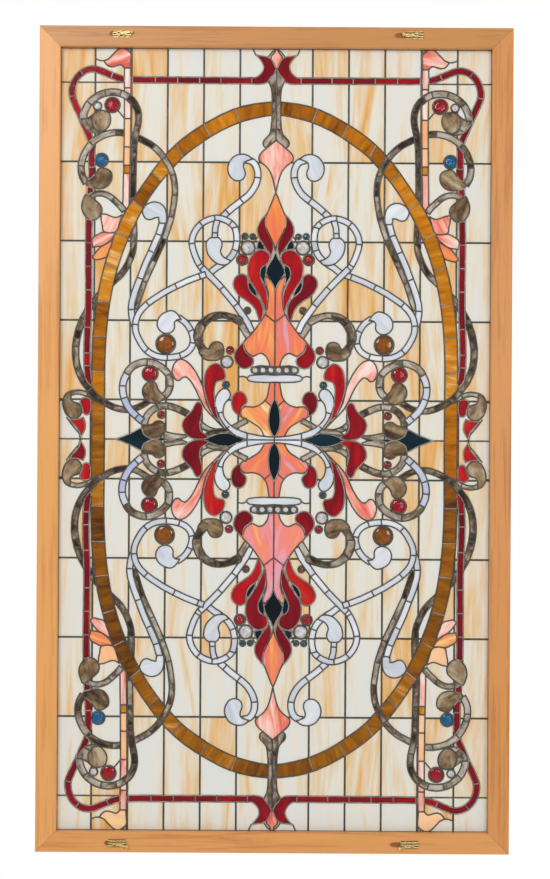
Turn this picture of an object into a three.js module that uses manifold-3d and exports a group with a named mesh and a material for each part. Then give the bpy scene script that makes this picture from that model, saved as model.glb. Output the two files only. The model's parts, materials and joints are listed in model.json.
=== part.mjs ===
// Leaded stained glass window: a mitred wooden frame, a leaded panel of cream
// quarries with an amber oval ring, red border bands and round jewels, and four
// small brass swing latches on the front of the two rails.
//
// Millimetres. X to the right, Y from the front to the back, Z up.
// The origin is the mount: the middle of the top rail's flat back face.

import * as THREE from "three";
import Module from "manifold-3d";

const wasm = await Module();
wasm.setup();

// ---------------------------------------------------------------- main sizes

const FRAME_WIDTH = 860;
const FRAME_HEIGHT = 1500;
const BOARD_FACE = 38;
const BOARD_DEPTH = 32;
const BOARD_ROUNDING = 1.5;
const MITRE_GAP = 0.3;

const GROOVE_DEPTH = 6;
const GROOVE_WIDTH = 7;
const PANEL_Y = -BOARD_DEPTH / 2;
const PANEL_HALF_WIDTH = 396;
const PANEL_HALF_HEIGHT = 716;

const QUARRY_WIDTH = 66;
const QUARRY_HEIGHT = 144.4;
const GLASS_THICKNESS = 2.8;
const CAME_FACE = 4;
const CAME_HEIGHT = 6;
const FLANGE_THICKNESS = 1.3;
const EDGE_CAME_FACE = 6;
const CLEARANCE = 0.3;

const RED_BAND_WIDTH = 11.5;

// The panel is drawn about its own middle, which lies this far below the mount.
const PANEL_CENTRE_Z = BOARD_FACE / 2 - FRAME_HEIGHT / 2;

// ---------------------------------------------------------------- materials

function finish(name, colour, roughness, metalness = 0, opacity = 1) {
  return new THREE.MeshStandardMaterial({
    name,
    color: new THREE.Color(...colour),
    roughness,
    metalness,
    opacity,
    transparent: opacity < 1,
  });
}

const FINISHES = {
  wood: () => finish("orange_wood", [0.6, 0.3, 0.12], 0.5),
  lead: () => finish("lead_came", [0.12, 0.12, 0.12], 0.55, 0.6),
  cream: () => finish("cream_glass", [0.86, 0.82, 0.72], 0.2, 0, 0.9),
  amber: () => finish("amber_glass", [0.55, 0.24, 0.02], 0.15, 0, 0.85),
  red: () => finish("red_glass", [0.35, 0.015, 0.02], 0.15, 0, 0.85),
  blue: () => finish("blue_glass", [0.01, 0.08, 0.25], 0.08, 0, 0.85),
  brass: () => finish("aged_brass", [0.45, 0.34, 0.14], 0.35, 0.9),
};

const stainedGlassWindow = new THREE.Group();
stainedGlassWindow.name = "stained_glass_window";

function addNode(name, geometry, finishName) {
  const node = new THREE.Mesh(geometry, FINISHES[finishName]());
  node.name = name;
  stainedGlassWindow.add(node);
}

// ------------------------------------------------------- joining and cutting

function toSolid(geometry) {
  const flat = geometry.index ? geometry.toNonIndexed() : geometry;
  const position = flat.attributes.position;
  const corners = new Map();
  const vertProperties = [];
  const triVerts = [];
  for (let i = 0; i < position.count; i += 1) {
    const point = [position.getX(i), position.getY(i), position.getZ(i)];
    const key = point.map((value) => Math.round(value * 1e4)).join(",");
    if (!corners.has(key)) {
      corners.set(key, vertProperties.length / 3);
      vertProperties.push(...point);
    }
    triVerts.push(corners.get(key));
  }
  const kept = [];
  for (let i = 0; i < triVerts.length; i += 3) {
    const [a, b, c] = triVerts.slice(i, i + 3);
    if (a !== b && b !== c && c !== a) {
      kept.push(a, b, c);
    }
  }
  const mesh = new wasm.Mesh({
    numProp: 3,
    vertProperties: new Float32Array(vertProperties),
    triVerts: new Uint32Array(kept),
  });
  return new wasm.Manifold(mesh);
}

function toGeometry(solid) {
  const mesh = solid.getMesh();
  const geometry = new THREE.BufferGeometry();
  const position = new THREE.BufferAttribute(mesh.vertProperties, 3);
  geometry.setAttribute("position", position);
  geometry.setIndex(new THREE.BufferAttribute(mesh.triVerts, 1));
  const faceted = geometry.toNonIndexed();
  faceted.computeVertexNormals();
  return faceted;
}

// ------------------------------------------------ flat shapes in the XZ plane

// A plate with the outline [x, z], from one depth to another. The turn about X
// lays the extrusion's own Y along Z, and its depth along -Y.
function slab(outline, yFront, yBack) {
  const shape = new THREE.Shape(outline.map(([x, z]) => new THREE.Vector2(x, z)));
  const geometry = new THREE.ExtrudeGeometry(shape, {
    depth: yBack - yFront,
    bevelEnabled: false,
  });
  geometry.rotateX(Math.PI / 2);
  geometry.translate(0, yBack, PANEL_CENTRE_Z);
  return toSolid(geometry);
}

function bar(x0, x1, z0, z1, yFront, yBack) {
  return slab([[x0, z0], [x1, z0], [x1, z1], [x0, z1]], yFront, yBack);
}

// A smooth line through a few chosen points.
function curve(points, steps) {
  const knots = points.map(([x, z]) => new THREE.Vector3(x, z, 0));
  const line = new THREE.CatmullRomCurve3(knots, false, "centripetal");
  return line.getPoints(steps).map((p) => [p.x, p.y]);
}

// The unit normal on the left of the line at one of its points.
function leftNormal(points, i, closed) {
  const last = points.length - 1;
  const before = closed ? points[(i + last) % points.length] : points[Math.max(i - 1, 0)];
  const after = closed ? points[(i + 1) % points.length] : points[Math.min(i + 1, last)];
  const dx = after[0] - before[0];
  const dz = after[1] - before[1];
  const length = Math.hypot(dx, dz);
  return [-dz / length, dx / length];
}

function shifted(points, distance, closed = false) {
  return points.map(([x, z], i) => {
    const [nx, nz] = leftNormal(points, i, closed);
    return [x + nx * distance, z + nz * distance];
  });
}

// The outline of a strip of even width along an open line.
function stripOutline(line, width) {
  const left = shifted(line, width / 2);
  const right = shifted(line, -width / 2);
  return [...left, ...right.reverse()];
}

// The same outline in one of the four quarters of the panel.
const QUARTERS = [
  ["upper_right", 1, 1],
  ["upper_left", -1, 1],
  ["lower_left", -1, -1],
  ["lower_right", 1, -1],
];

function inQuarter(points, sx, sz) {
  const turned = points.map(([x, z]) => [x * sx, z * sz]);
  return sx * sz < 0 ? turned.reverse() : turned;
}

// -------------------------------------------------------------- the design

// Outer and inner edges of the amber ring, from the top to the right-hand side.
const RING_OUTER = [
  [0, 616.5], [60, 607.5], [132, 575.5], [180, 539], [227, 487], [267, 432],
  [293, 376], [313, 311], [325, 250], [332, 186], [333, 100], [333, 0],
];
const RING_INNER = [
  [0, 592.5], [60, 580.5], [118, 553.5], [168, 517], [203, 477], [241, 421.5],
  [271, 359], [293, 290], [303, 237], [308.5, 186], [310, 100], [310, 0],
];

function fullRing(quarterEdge) {
  const right = curve(quarterEdge, 8);
  const upper = [...right.slice(0, -1)];
  const ring = [];
  ring.push(...upper);
  ring.push(...right.slice(1).reverse().map(([x, z]) => [x, -z]));
  ring.push(...upper.map(([x, z]) => [-x, -z]));
  ring.push(...right.slice(1).reverse().map(([x, z]) => [-x, z]));
  return ring.reverse();
}

const ringOuter = fullRing(RING_OUTER);
const ringInner = fullRing(RING_INNER);

// Leads across the amber ring: [outer end, inner end].
const RING_JOINTS = [
  [[132, 573], [120, 553]],
  [[228, 485], [208, 472]],
  [[293, 376], [271, 367]],
  [[325, 251], [301, 247]],
  [[333, 123], [309, 123]],
];

// Middle line of the red border band: along the top, round the corner loop,
// down the side.
const RED_LINE = [
  [24, 657], [48, 654.5], [262, 655], [300, 662.5], [332, 674], [358.5, 664],
  [371.5, 640], [366, 610], [348, 568], [336, 530], [336, 480], [339.5, 400],
  [340, 240], [338.5, 104],
];
const redLine = curve(RED_LINE, 14);

// Round jewels: [name, x, z, radius of the glass, finish].
const JEWELS = [
  ["red_jewel_high", 298.6, 608, 13.5, "red"],
  ["blue_jewel", 317.5, 507.5, 12, "blue"],
  ["amber_jewel", 199, 174, 16, "amber"],
  ["red_jewel_low", 227, 119.5, 13.5, "red"],
];
const JEWEL_SIDES = 8;
const JEWEL_DOME = 3.4;

function circle(x, z, radius, sides = JEWEL_SIDES) {
  return Array.from({ length: sides }, (_, i) => {
    const angle = (2 * Math.PI * i) / sides;
    return [x + radius * Math.cos(angle), z + radius * Math.sin(angle)];
  });
}

// ------------------------------------------------------------ wooden frame

// One board lies along its own X with its outer edge up. The section is drawn
// as [depth from the back, distance in from the outer edge].
function boardSection() {
  const r = BOARD_ROUNDING;
  const grooveNear = -PANEL_Y - GROOVE_WIDTH / 2;
  const grooveFar = -PANEL_Y + GROOVE_WIDTH / 2;
  const grooveFloor = BOARD_FACE - GROOVE_DEPTH;
  return [
    [0, 0],
    [BOARD_DEPTH - r, 0],
    [BOARD_DEPTH, r],
    [BOARD_DEPTH, BOARD_FACE - r],
    [BOARD_DEPTH - r, BOARD_FACE],
    [grooveFar, BOARD_FACE],
    [grooveFar, grooveFloor],
    [grooveNear, grooveFloor],
    [grooveNear, BOARD_FACE],
    [0, BOARD_FACE],
  ];
}

// The board's two ends are cut along the mitres: at a distance inwards from the
// outer edge, the board is that much shorter at each end.
function board(length) {
  const section = boardSection();
  const count = section.length;
  const half = length / 2 - MITRE_GAP / Math.SQRT2;
  const shape = new THREE.Shape(section.map(([d, t]) => new THREE.Vector2(d, t)));
  const faces = THREE.ShapeUtils.triangulateShape(shape.getPoints(), []);
  const corners = [];
  for (const end of [-1, 1]) {
    for (const [d, t] of section) {
      corners.push([end * (half - t), -d, -t]);
    }
  }
  const triangles = [];
  for (const [a, b, c] of faces) {
    triangles.push([a, c, b]);
    triangles.push([a + count, b + count, c + count]);
  }
  for (let i = 0; i < count; i += 1) {
    const j = (i + 1) % count;
    triangles.push([i, j, j + count]);
    triangles.push([i, j + count, i + count]);
  }
  const geometry = new THREE.BufferGeometry();
  const points = triangles.flat().flatMap((index) => corners[index]);
  geometry.setAttribute("position", new THREE.Float32BufferAttribute(points, 3));
  return geometry;
}

const topBoard = board(FRAME_WIDTH);
topBoard.translate(0, 0, BOARD_FACE / 2);

const bottomBoard = board(FRAME_WIDTH);
bottomBoard.rotateY(Math.PI);
bottomBoard.translate(0, 0, BOARD_FACE / 2 - FRAME_HEIGHT);

const leftBoard = board(FRAME_HEIGHT);
leftBoard.rotateY(-Math.PI / 2);
leftBoard.translate(-FRAME_WIDTH / 2, 0, PANEL_CENTRE_Z);

const rightBoard = board(FRAME_HEIGHT);
rightBoard.rotateY(Math.PI / 2);
rightBoard.translate(FRAME_WIDTH / 2, 0, PANEL_CENTRE_Z);

// --------------------------------------------------------------- lead cames

const FRONT_FACE_Y = PANEL_Y - CAME_HEIGHT / 2;
const BACK_FACE_Y = PANEL_Y + CAME_HEIGHT / 2;
const GLASS_FRONT_Y = PANEL_Y - GLASS_THICKNESS / 2;
const GLASS_BACK_Y = PANEL_Y + GLASS_THICKNESS / 2;

function rectangleRing(halfWidth, halfHeight, width, yFront, yBack) {
  const outer = bar(-halfWidth, halfWidth, -halfHeight, halfHeight, yFront, yBack);
  const inner = bar(
    -halfWidth + width, halfWidth - width,
    -halfHeight + width, halfHeight - width,
    yFront - 1, yBack + 1,
  );
  return outer.subtract(inner);
}

// Lead along both sides of a closed outline.
function rim(outline, yFront, yBack) {
  const outer = slab(shifted(outline, -CAME_FACE / 2, true), yFront, yBack);
  const inner = slab(shifted(outline, CAME_FACE / 2, true), yFront - 1, yBack + 1);
  return outer.subtract(inner);
}

// The straight quarry leads of one face, inside the lead round the edge.
function quarryLeads(yFront, yBack) {
  const half = CAME_FACE / 2;
  let net = rectangleRing(
    PANEL_HALF_WIDTH, PANEL_HALF_HEIGHT, EDGE_CAME_FACE, yFront, yBack,
  );
  const reachX = PANEL_HALF_WIDTH - 1;
  const reachZ = PANEL_HALF_HEIGHT - 1;
  for (let column = -5; column <= 5; column += 1) {
    const x = column * QUARRY_WIDTH;
    net = net.add(bar(x - half, x + half, -reachZ, reachZ, yFront, yBack));
  }
  for (let row = -4.5; row <= 4.5; row += 1) {
    const z = row * QUARRY_HEIGHT;
    net = net.add(bar(-reachX, reachX, z - half, z + half, yFront, yBack));
  }
  return net;
}

// The front face: the quarry leads stop where the amber ring, the red bands and
// the jewels lie. The ring and the bands have leads of their own round them.
function frontLeads(yFront, yBack) {
  const ringBand = slab(ringOuter, yFront - 1, yBack + 1)
    .subtract(slab(ringInner, yFront - 2, yBack + 2));
  let net = quarryLeads(yFront, yBack)
    .subtract(ringBand)
    .add(rim(ringOuter, yFront, yBack))
    .add(rim(ringInner, yFront, yBack));
  for (const [, sx, sz] of QUARTERS) {
    for (const joint of RING_JOINTS) {
      const lead = inQuarter(stripOutline(joint, CAME_FACE).reverse(), sx, sz);
      net = net.add(slab(lead, yFront, yBack));
    }
    const band = inQuarter(stripOutline(redLine, RED_BAND_WIDTH).reverse(), sx, sz);
    net = net.subtract(slab(band, yFront - 1, yBack + 1));
    net = net.add(rim(band, yFront, yBack));
    for (const [, x, z, radius] of JEWELS) {
      const seat = circle(x * sx, z * sz, radius + CLEARANCE);
      net = net.subtract(slab(seat, yFront - 1, yBack + 1));
    }
  }
  return net;
}

// Lead right round the panel's edge, as deep as the came, carries the front net.
const HEART_WIDTH = 1.2;
const edgeHeart = rectangleRing(
  PANEL_HALF_WIDTH, PANEL_HALF_HEIGHT, HEART_WIDTH, FRONT_FACE_Y, BACK_FACE_Y,
);
const edgeBackFlange = rectangleRing(
  PANEL_HALF_WIDTH, PANEL_HALF_HEIGHT, EDGE_CAME_FACE,
  BACK_FACE_Y - FLANGE_THICKNESS, BACK_FACE_Y,
);
const leadNet = frontLeads(FRONT_FACE_Y, FRONT_FACE_Y + FLANGE_THICKNESS)
  .add(edgeHeart)
  .add(edgeBackFlange);

// -------------------------------------------------------------------- glass

const GLASS_MARGIN = HEART_WIDTH + CLEARANCE;

function glass(outline) {
  return slab(outline, GLASS_FRONT_Y, GLASS_BACK_Y);
}

function cutter(outline) {
  return slab(outline, GLASS_FRONT_Y - 1, GLASS_BACK_Y + 1);
}

const sheetHalfWidth = PANEL_HALF_WIDTH - GLASS_MARGIN;
const sheetHalfHeight = PANEL_HALF_HEIGHT - GLASS_MARGIN;
const fullSheet = bar(
  -sheetHalfWidth, sheetHalfWidth, -sheetHalfHeight, sheetHalfHeight,
  GLASS_FRONT_Y, GLASS_BACK_Y,
);

let outerField = fullSheet.subtract(cutter(ringOuter));
let innerField = glass(shifted(ringInner, CLEARANCE, true));
const ringGlass = glass(shifted(ringOuter, CLEARANCE, true)).subtract(cutter(ringInner));

const redBands = [];
for (const [place, sx, sz] of QUARTERS) {
  const cut = inQuarter(stripOutline(redLine, RED_BAND_WIDTH).reverse(), sx, sz);
  const piece = inQuarter(
    stripOutline(redLine, RED_BAND_WIDTH - 2 * CLEARANCE).reverse(), sx, sz,
  );
  outerField = outerField.subtract(cutter(cut));
  redBands.push([place, glass(piece)]);
}

const jewels = [];
for (const [place, sx, sz] of QUARTERS) {
  for (const [name, x, z, radius, finishName] of JEWELS) {
    const hole = cutter(circle(x * sx, z * sz, radius + CLEARANCE));
    outerField = outerField.subtract(hole);
    innerField = innerField.subtract(hole);
    const profile = [
      [0, -JEWEL_DOME],
      [radius * 0.6, -JEWEL_DOME * 0.7],
      [radius - 0.6, 0],
      [radius - 0.6, GLASS_THICKNESS],
      [0, GLASS_THICKNESS],
    ];
    const points = profile.map(([r, y]) => new THREE.Vector2(r, y));
    const dome = new THREE.LatheGeometry(points, JEWEL_SIDES);
    dome.translate(x * sx, GLASS_FRONT_Y, z * sz + PANEL_CENTRE_Z);
    jewels.push([`${name}_${place}`, dome, finishName]);
  }
}

// ----------------------------------------------------------- brass latches

const LATCH_PLATE = { length: 33, height: 13, thickness: 1.4, corner: 2 };
const LATCH_PIN = { radius: 2, headRadius: 3.6, headThickness: 1.2 };
const LATCH_LEVER = {
  hub: 4.6,
  thickness: 2.6,
  reach: 23,
  armAtHub: 2.4,
  armAtBall: 1.5,
  armThickness: 2,
  ball: 3.3,
  ballForward: 1,
};
const LEVER_GAP = 0.4;
const PIN_CLEARANCE = 0.08;
const SCREW = { radius: 2.4, proud: 0.35, spacing: 11.5 };
const ROUND_SIDES = 12;

// [place, plate centre x, plate centre z, pin's offset along the plate,
//  lever's resting angle, dark finger pocket's near end and far end].
const LATCHES = [
  ["top_left", -281, 735, -5, 8, -22, -12],
  ["top_right", 250, 735, 3, 178, -35, -12],
  ["bottom_left", -281, -733, -4, -14, -22, -12],
  ["bottom_right", 250, -733, 4, 194, -35, -12],
];
const POCKET_HEIGHT = 8;
const POCKET_DEPTH = 2;

function cylinder(radius, yFront, yBack, x, z, sides = ROUND_SIDES) {
  const geometry = new THREE.CylinderGeometry(radius, radius, yBack - yFront, sides);
  geometry.translate(x, (yFront + yBack) / 2, z + PANEL_CENTRE_Z);
  return toSolid(geometry);
}

function roundedRectangle(cx, cz, length, height, corner) {
  const outline = [];
  for (const [sx, sz, start] of [[1, 1, 0], [-1, 1, 90], [-1, -1, 180], [1, -1, 270]]) {
    for (const step of [0, 45, 90]) {
      const angle = THREE.MathUtils.degToRad(start + step);
      outline.push([
        cx + sx * (length / 2 - corner) + corner * Math.cos(angle),
        cz + sz * (height / 2 - corner) + corner * Math.sin(angle),
      ]);
    }
  }
  return outline;
}

// Plate, two screw heads and the pin with its head, brazed as one piece.
function latchPlate(x, z, pinX) {
  const front = -BOARD_DEPTH - CLEARANCE;
  const plateFront = front - LATCH_PLATE.thickness;
  const outline = roundedRectangle(
    x, z, LATCH_PLATE.length, LATCH_PLATE.height, LATCH_PLATE.corner,
  );
  let solid = slab(outline, plateFront, front);
  for (const side of [-1, 1]) {
    const screwX = x + side * SCREW.spacing;
    solid = solid.add(cylinder(
      SCREW.radius, plateFront - SCREW.proud, front - 0.5, screwX, z - 2.5, 10,
    ));
  }
  const leverBack = plateFront - SCREW.proud - LEVER_GAP;
  const leverFront = leverBack - LATCH_LEVER.thickness;
  const headBack = leverFront - LEVER_GAP;
  const headFront = headBack - LATCH_PIN.headThickness;
  solid = solid.add(cylinder(LATCH_PIN.radius, headBack - 0.2, front - 0.5, pinX, z));
  solid = solid.add(cylinder(LATCH_PIN.headRadius, headFront, headBack, pinX, z));
  return { solid, leverBack, leverFront };
}

// Hub, thin arm and ball end. Built along +X from the pin, then turned.
function latchLever(pinX, z, angle, yFront, yBack) {
  const { hub, thickness, reach, armAtHub, armAtBall, armThickness } = LATCH_LEVER;
  const hubPart = new THREE.CylinderGeometry(hub, hub, thickness, ROUND_SIDES);
  const armShape = new THREE.Shape([
    new THREE.Vector2(0, -armAtHub),
    new THREE.Vector2(reach, -armAtBall),
    new THREE.Vector2(reach, armAtBall),
    new THREE.Vector2(0, armAtHub),
  ]);
  const armPart = new THREE.ExtrudeGeometry(armShape, {
    depth: armThickness,
    bevelEnabled: false,
  });
  armPart.rotateX(Math.PI / 2);
  armPart.translate(0, armThickness / 2, 0);
  const ballPart = new THREE.SphereGeometry(LATCH_LEVER.ball, 10, 6);
  ballPart.rotateX(Math.PI / 2);
  ballPart.translate(reach, -LATCH_LEVER.ballForward, 0);
  const boreRadius = LATCH_PIN.radius + PIN_CLEARANCE;
  const bore = new THREE.CylinderGeometry(
    boreRadius, boreRadius, 4 * thickness, ROUND_SIDES,
  );
  const solid = toSolid(hubPart)
    .add(toSolid(armPart))
    .add(toSolid(ballPart))
    .subtract(toSolid(bore));
  const geometry = toGeometry(solid);
  geometry.rotateY(-THREE.MathUtils.degToRad(angle));
  geometry.translate(pinX, (yFront + yBack) / 2, z + PANEL_CENTRE_Z);
  return geometry;
}

const boards = {
  frame_rail_top: toSolid(topBoard),
  frame_rail_bottom: toSolid(bottomBoard),
  frame_stile_left: toSolid(leftBoard),
  frame_stile_right: toSolid(rightBoard),
};

const latchParts = [];
for (const [place, x, z, pinOffset, angle, pocketFar, pocketNear] of LATCHES) {
  const { solid, leverBack, leverFront } = latchPlate(x, z, x + pinOffset);
  latchParts.push([`latch_plate_${place}`, toGeometry(solid)]);
  const lever = latchLever(x + pinOffset, z, angle, leverFront, leverBack);
  latchParts.push([`latch_lever_${place}`, lever]);
  const rail = z > 0 ? "frame_rail_top" : "frame_rail_bottom";
  const pocket = roundedRectangle(
    x + (pocketFar + pocketNear) / 2, z,
    pocketNear - pocketFar, POCKET_HEIGHT, POCKET_HEIGHT / 2 - 0.1,
  );
  boards[rail] = boards[rail].subtract(
    slab(pocket, -BOARD_DEPTH - 1, -BOARD_DEPTH + POCKET_DEPTH),
  );
}

// ------------------------------------------------------------------- nodes

for (const [name, solid] of Object.entries(boards)) {
  addNode(name, toGeometry(solid), "wood");
}
addNode("lead_cames", toGeometry(leadNet), "lead");
addNode("cream_glass_border", toGeometry(outerField), "cream");
addNode("cream_glass_centre", toGeometry(innerField), "cream");
addNode("amber_ring_glass", toGeometry(ringGlass), "amber");
for (const [place, solid] of redBands) {
  addNode(`red_border_glass_${place}`, toGeometry(solid), "red");
}
for (const [name, geometry, finishName] of jewels) {
  addNode(name, geometry, finishName);
}
for (const [name, geometry] of latchParts) {
  addNode(name, geometry, "brass");
}

export default stainedGlassWindow;
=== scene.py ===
# %% [markdown]
# # A leaded window panel in a wooden frame
# This lesson dresses the plain solids of a stained glass window: about eleven
# hundred pieces of coloured glass, the lead that holds them, sixty-eight pressed
# glass jewels, four mitred boards and four brass latches. Everything is worked
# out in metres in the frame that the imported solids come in, with the front of
# the window facing -Y.

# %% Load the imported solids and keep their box
import json
import math

import bpy
import numpy as np
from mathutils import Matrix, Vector
from mathutils.geometry import delaunay_2d_cdt

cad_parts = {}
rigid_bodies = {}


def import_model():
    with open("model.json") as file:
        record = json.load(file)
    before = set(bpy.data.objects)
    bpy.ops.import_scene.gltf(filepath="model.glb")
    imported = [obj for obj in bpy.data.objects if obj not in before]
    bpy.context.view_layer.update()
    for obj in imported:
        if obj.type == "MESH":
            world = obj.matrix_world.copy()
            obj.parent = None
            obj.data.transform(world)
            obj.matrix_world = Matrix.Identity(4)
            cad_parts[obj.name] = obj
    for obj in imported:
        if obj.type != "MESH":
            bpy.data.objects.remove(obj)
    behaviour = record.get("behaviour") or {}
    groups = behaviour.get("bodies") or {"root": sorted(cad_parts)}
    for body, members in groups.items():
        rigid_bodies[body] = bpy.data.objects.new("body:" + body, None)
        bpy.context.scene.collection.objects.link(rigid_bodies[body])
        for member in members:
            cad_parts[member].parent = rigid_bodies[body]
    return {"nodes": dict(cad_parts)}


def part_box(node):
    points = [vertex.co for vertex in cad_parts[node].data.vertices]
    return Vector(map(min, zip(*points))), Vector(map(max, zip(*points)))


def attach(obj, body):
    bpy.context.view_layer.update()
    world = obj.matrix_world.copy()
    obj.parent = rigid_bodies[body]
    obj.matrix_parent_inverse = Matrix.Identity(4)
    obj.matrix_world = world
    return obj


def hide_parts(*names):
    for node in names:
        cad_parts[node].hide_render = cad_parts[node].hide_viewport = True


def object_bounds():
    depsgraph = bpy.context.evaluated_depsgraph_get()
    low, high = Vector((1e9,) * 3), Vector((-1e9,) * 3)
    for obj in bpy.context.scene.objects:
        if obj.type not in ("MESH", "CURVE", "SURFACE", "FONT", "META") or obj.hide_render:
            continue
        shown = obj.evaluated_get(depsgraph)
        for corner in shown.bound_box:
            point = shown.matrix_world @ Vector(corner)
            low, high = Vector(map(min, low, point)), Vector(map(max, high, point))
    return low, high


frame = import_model()
CAD_BOX = [list(corner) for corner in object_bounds()]

# %% [markdown]
# The glass has to sit exactly where the solids put it, so the sizes are read
# from the solids' boxes: the middle of the panel, and the front and back of the
# glass and of the leads.

# %% Measure the panel
cream_low, cream_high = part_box("cream_glass_border")
lead_low, lead_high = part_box("lead_cames")
CENTRE_Z = (cream_low[2] + cream_high[2]) / 2
GLASS_FRONT = cream_low[1]
GLASS_BACK = cream_high[1]
LEAD_FRONT = lead_low[1]
LEAD_BACK = lead_high[1]
HALF_WIDTH = (lead_high[0] - lead_low[0]) / 2 * 1000
HALF_HEIGHT = (lead_high[2] - lead_low[2]) / 2 * 1000
JEWEL_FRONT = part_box("red_jewel_low_upper_left")[0][1]
BOARD_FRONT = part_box("frame_rail_top")[0][1]
MM = 0.001
chance = np.random.default_rng(1890)
print("panel middle z %.3f, glass y %.4f to %.4f" % (CENTRE_Z, GLASS_FRONT, GLASS_BACK))
print("lead y %.4f to %.4f, half size %.0f x %.0f mm" % (LEAD_FRONT, LEAD_BACK, HALF_WIDTH, HALF_HEIGHT))

# %% [markdown]
# ## The camera
# A long lens straight in front of the window, level with its middle. It is set
# up first so that every later step can be looked at. The window leans a third
# of a degree clockwise in the view, so the camera rolls the other way.

# %% Camera
camera_data = bpy.data.cameras.new("window_camera")
camera = bpy.data.objects.new("window_camera", camera_data)
bpy.context.scene.collection.objects.link(camera)
bpy.context.scene.camera = camera
VIEW_HEIGHT = 1.5945             # metres seen from top to bottom
DISTANCE = 3.2                   # metres in front of the boards
SENSOR = 36.0                    # mm
ASIDE, ABOVE = 0.0012, 0.00085   # metres off the middle
ROLL = -0.35                     # degrees
camera_data.sensor_width = SENSOR
camera_data.lens = SENSOR * DISTANCE / VIEW_HEIGHT
camera.location = (ASIDE, BOARD_FRONT - DISTANCE, CENTRE_Z + ABOVE)
camera.rotation_euler = (math.radians(90.0), math.radians(ROLL), 0.0)
print("lens %.1f mm" % camera_data.lens)

# %% [markdown]
# ## Curves
# A glazier draws such a panel as a full-size cartoon: flowing lines with sharp
# tips. Each line here is a few chosen points in millimetres from the middle of
# the panel. A Hermite curve runs through them; where the line turns hard, the
# curve is broken into a tip.

# %% Helpers for drawing
LONGEST_STEP, SHORTEST_STEP = 24.0, 1.2   # mm between points on a curve
TURN_STEP = 9.0                           # degrees of bend between points
TIP_ANGLE = 66.0                          # a harder bend than this leaves a tip


def points(text):
    """Reads "x z, x z, ..." into an array of points."""
    return np.array([[float(v) for v in pair.split()] for pair in text.split(",")])


def unit(v):
    """Each vector divided by its own length."""
    return v / np.maximum(np.linalg.norm(v, axis=-1, keepdims=True), 1e-9)


def smooth(control, closed=False, corner=TIP_ANGLE):
    """A cubic through the control points. Each point's direction is the mean of the two spans that meet
    there, weighted towards the shorter one; past the corner angle each span keeps its own direction and a
    tip is left."""
    c = np.asarray(control, float)
    n = len(c)
    spans = n if closed else n - 1
    first = np.arange(spans)
    second = (first + 1) % n
    chord = c[second] - c[first]
    length = np.linalg.norm(chord, axis=1)
    way = unit(chord)
    before = (first - 1) % spans
    after = (first + 1) % spans
    direction_in = unit(way[before] * length[first, None] + way * length[before, None])
    direction_out = unit(way * length[after, None] + way[after] * length[first, None])
    limit = math.cos(math.radians(corner))
    sharp_in = (way * way[before]).sum(1) < limit
    sharp_out = (way * way[after]).sum(1) < limit
    if not closed:
        sharp_in[0] = True
        sharp_out[-1] = True
    direction_in[sharp_in] = way[sharp_in]
    direction_out[sharp_out] = way[sharp_out]
    turn = np.degrees(np.arccos(np.clip((direction_in * direction_out).sum(1), -1, 1)))
    steps = np.maximum(1, np.ceil(np.maximum(length / LONGEST_STEP, turn / TURN_STEP))).astype(int)
    steps = np.minimum(steps, np.maximum(1, (length / SHORTEST_STEP).astype(int)))
    k = np.repeat(first, steps)
    start = np.repeat(np.cumsum(steps) - steps, steps)
    t = ((np.arange(len(k)) - start) / np.repeat(steps, steps))[:, None]
    a, b = c[k], c[second[k]]
    u = direction_in[k] * length[k, None]
    v = direction_out[k] * length[k, None]
    line = (
        a * (2 * t**3 - 3 * t**2 + 1)
        + u * (t**3 - 2 * t**2 + t)
        + b * (3 * t**2 - 2 * t**3)
        + v * (t**3 - t**2)
    )
    return line if closed else np.vstack([line, c[-1]])


def side_of(line, closed=False):
    """At each point, the unit direction square to the line."""
    if closed:
        way = unit(unit(np.roll(line, -1, 0) - line) + unit(line - np.roll(line, 1, 0)))
    else:
        step = unit(np.diff(line, axis=0))
        way = unit(np.vstack([step[:1], step[1:] + step[:-1], step[-1:]]))
    return np.stack([-way[:, 1], way[:, 0]], 1)


test_circle = smooth(points("1 0, 0 1, -1 0, 0 -1") * 9, closed=True)
print("a test circle of 4 points becomes", len(test_circle), "points")

# %% [markdown]
# ## The cartoon
# The design is the same in all four quarters, so only the upper right one is
# drawn. `lay` puts a closed shape on the cartoon and mirrors it; a later shape
# lies over an earlier one. A shape that crosses the upright middle line is
# drawn as its right half ("across"), and one that crosses the level middle line
# as its upper half ("level"). A `strap` is a ribbon of even or tapering width
# along a line, and its joints are the short leads between its pieces.

# %% Laying shapes on the cartoon
SHAPES = []


def flips(copies):
    """The mirrorings of a shape: all four quarters, above and below, left and right, or none."""
    return {
        "four": [(1, 1), (-1, 1), (1, -1), (-1, -1)],
        "across": [(1, 1), (1, -1)],
        "level": [(1, 1), (-1, 1)],
        "one": [(1, 1)],
    }[copies]


def put(name, kind, outline, cuts, copies, tone, grain, whole, below=None):
    """Keeps every mirrored copy of an outline with its joints; below is the lower half's kind of glass."""
    for number, flip in enumerate(flips(copies)):
        SHAPES.append({
            "name": name,
            "kind": below if below and flip[1] < 0 else kind,
            "outline": outline * flip,
            "cuts": [cut * flip for cut in cuts],
            "tone": tone,
            "grain": grain,
            "owner": name if whole else "%s_%d_%d" % (name, number, len(SHAPES)),
        })


OVERRUN = 1.5      # mm


def longer(cut):
    """A cut pushed out a little at both ends, so that it surely reaches the shape's edges."""
    more = unit(cut[1] - cut[0]) * OVERRUN
    return np.array([cut[0] - more, cut[1] + more])


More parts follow.
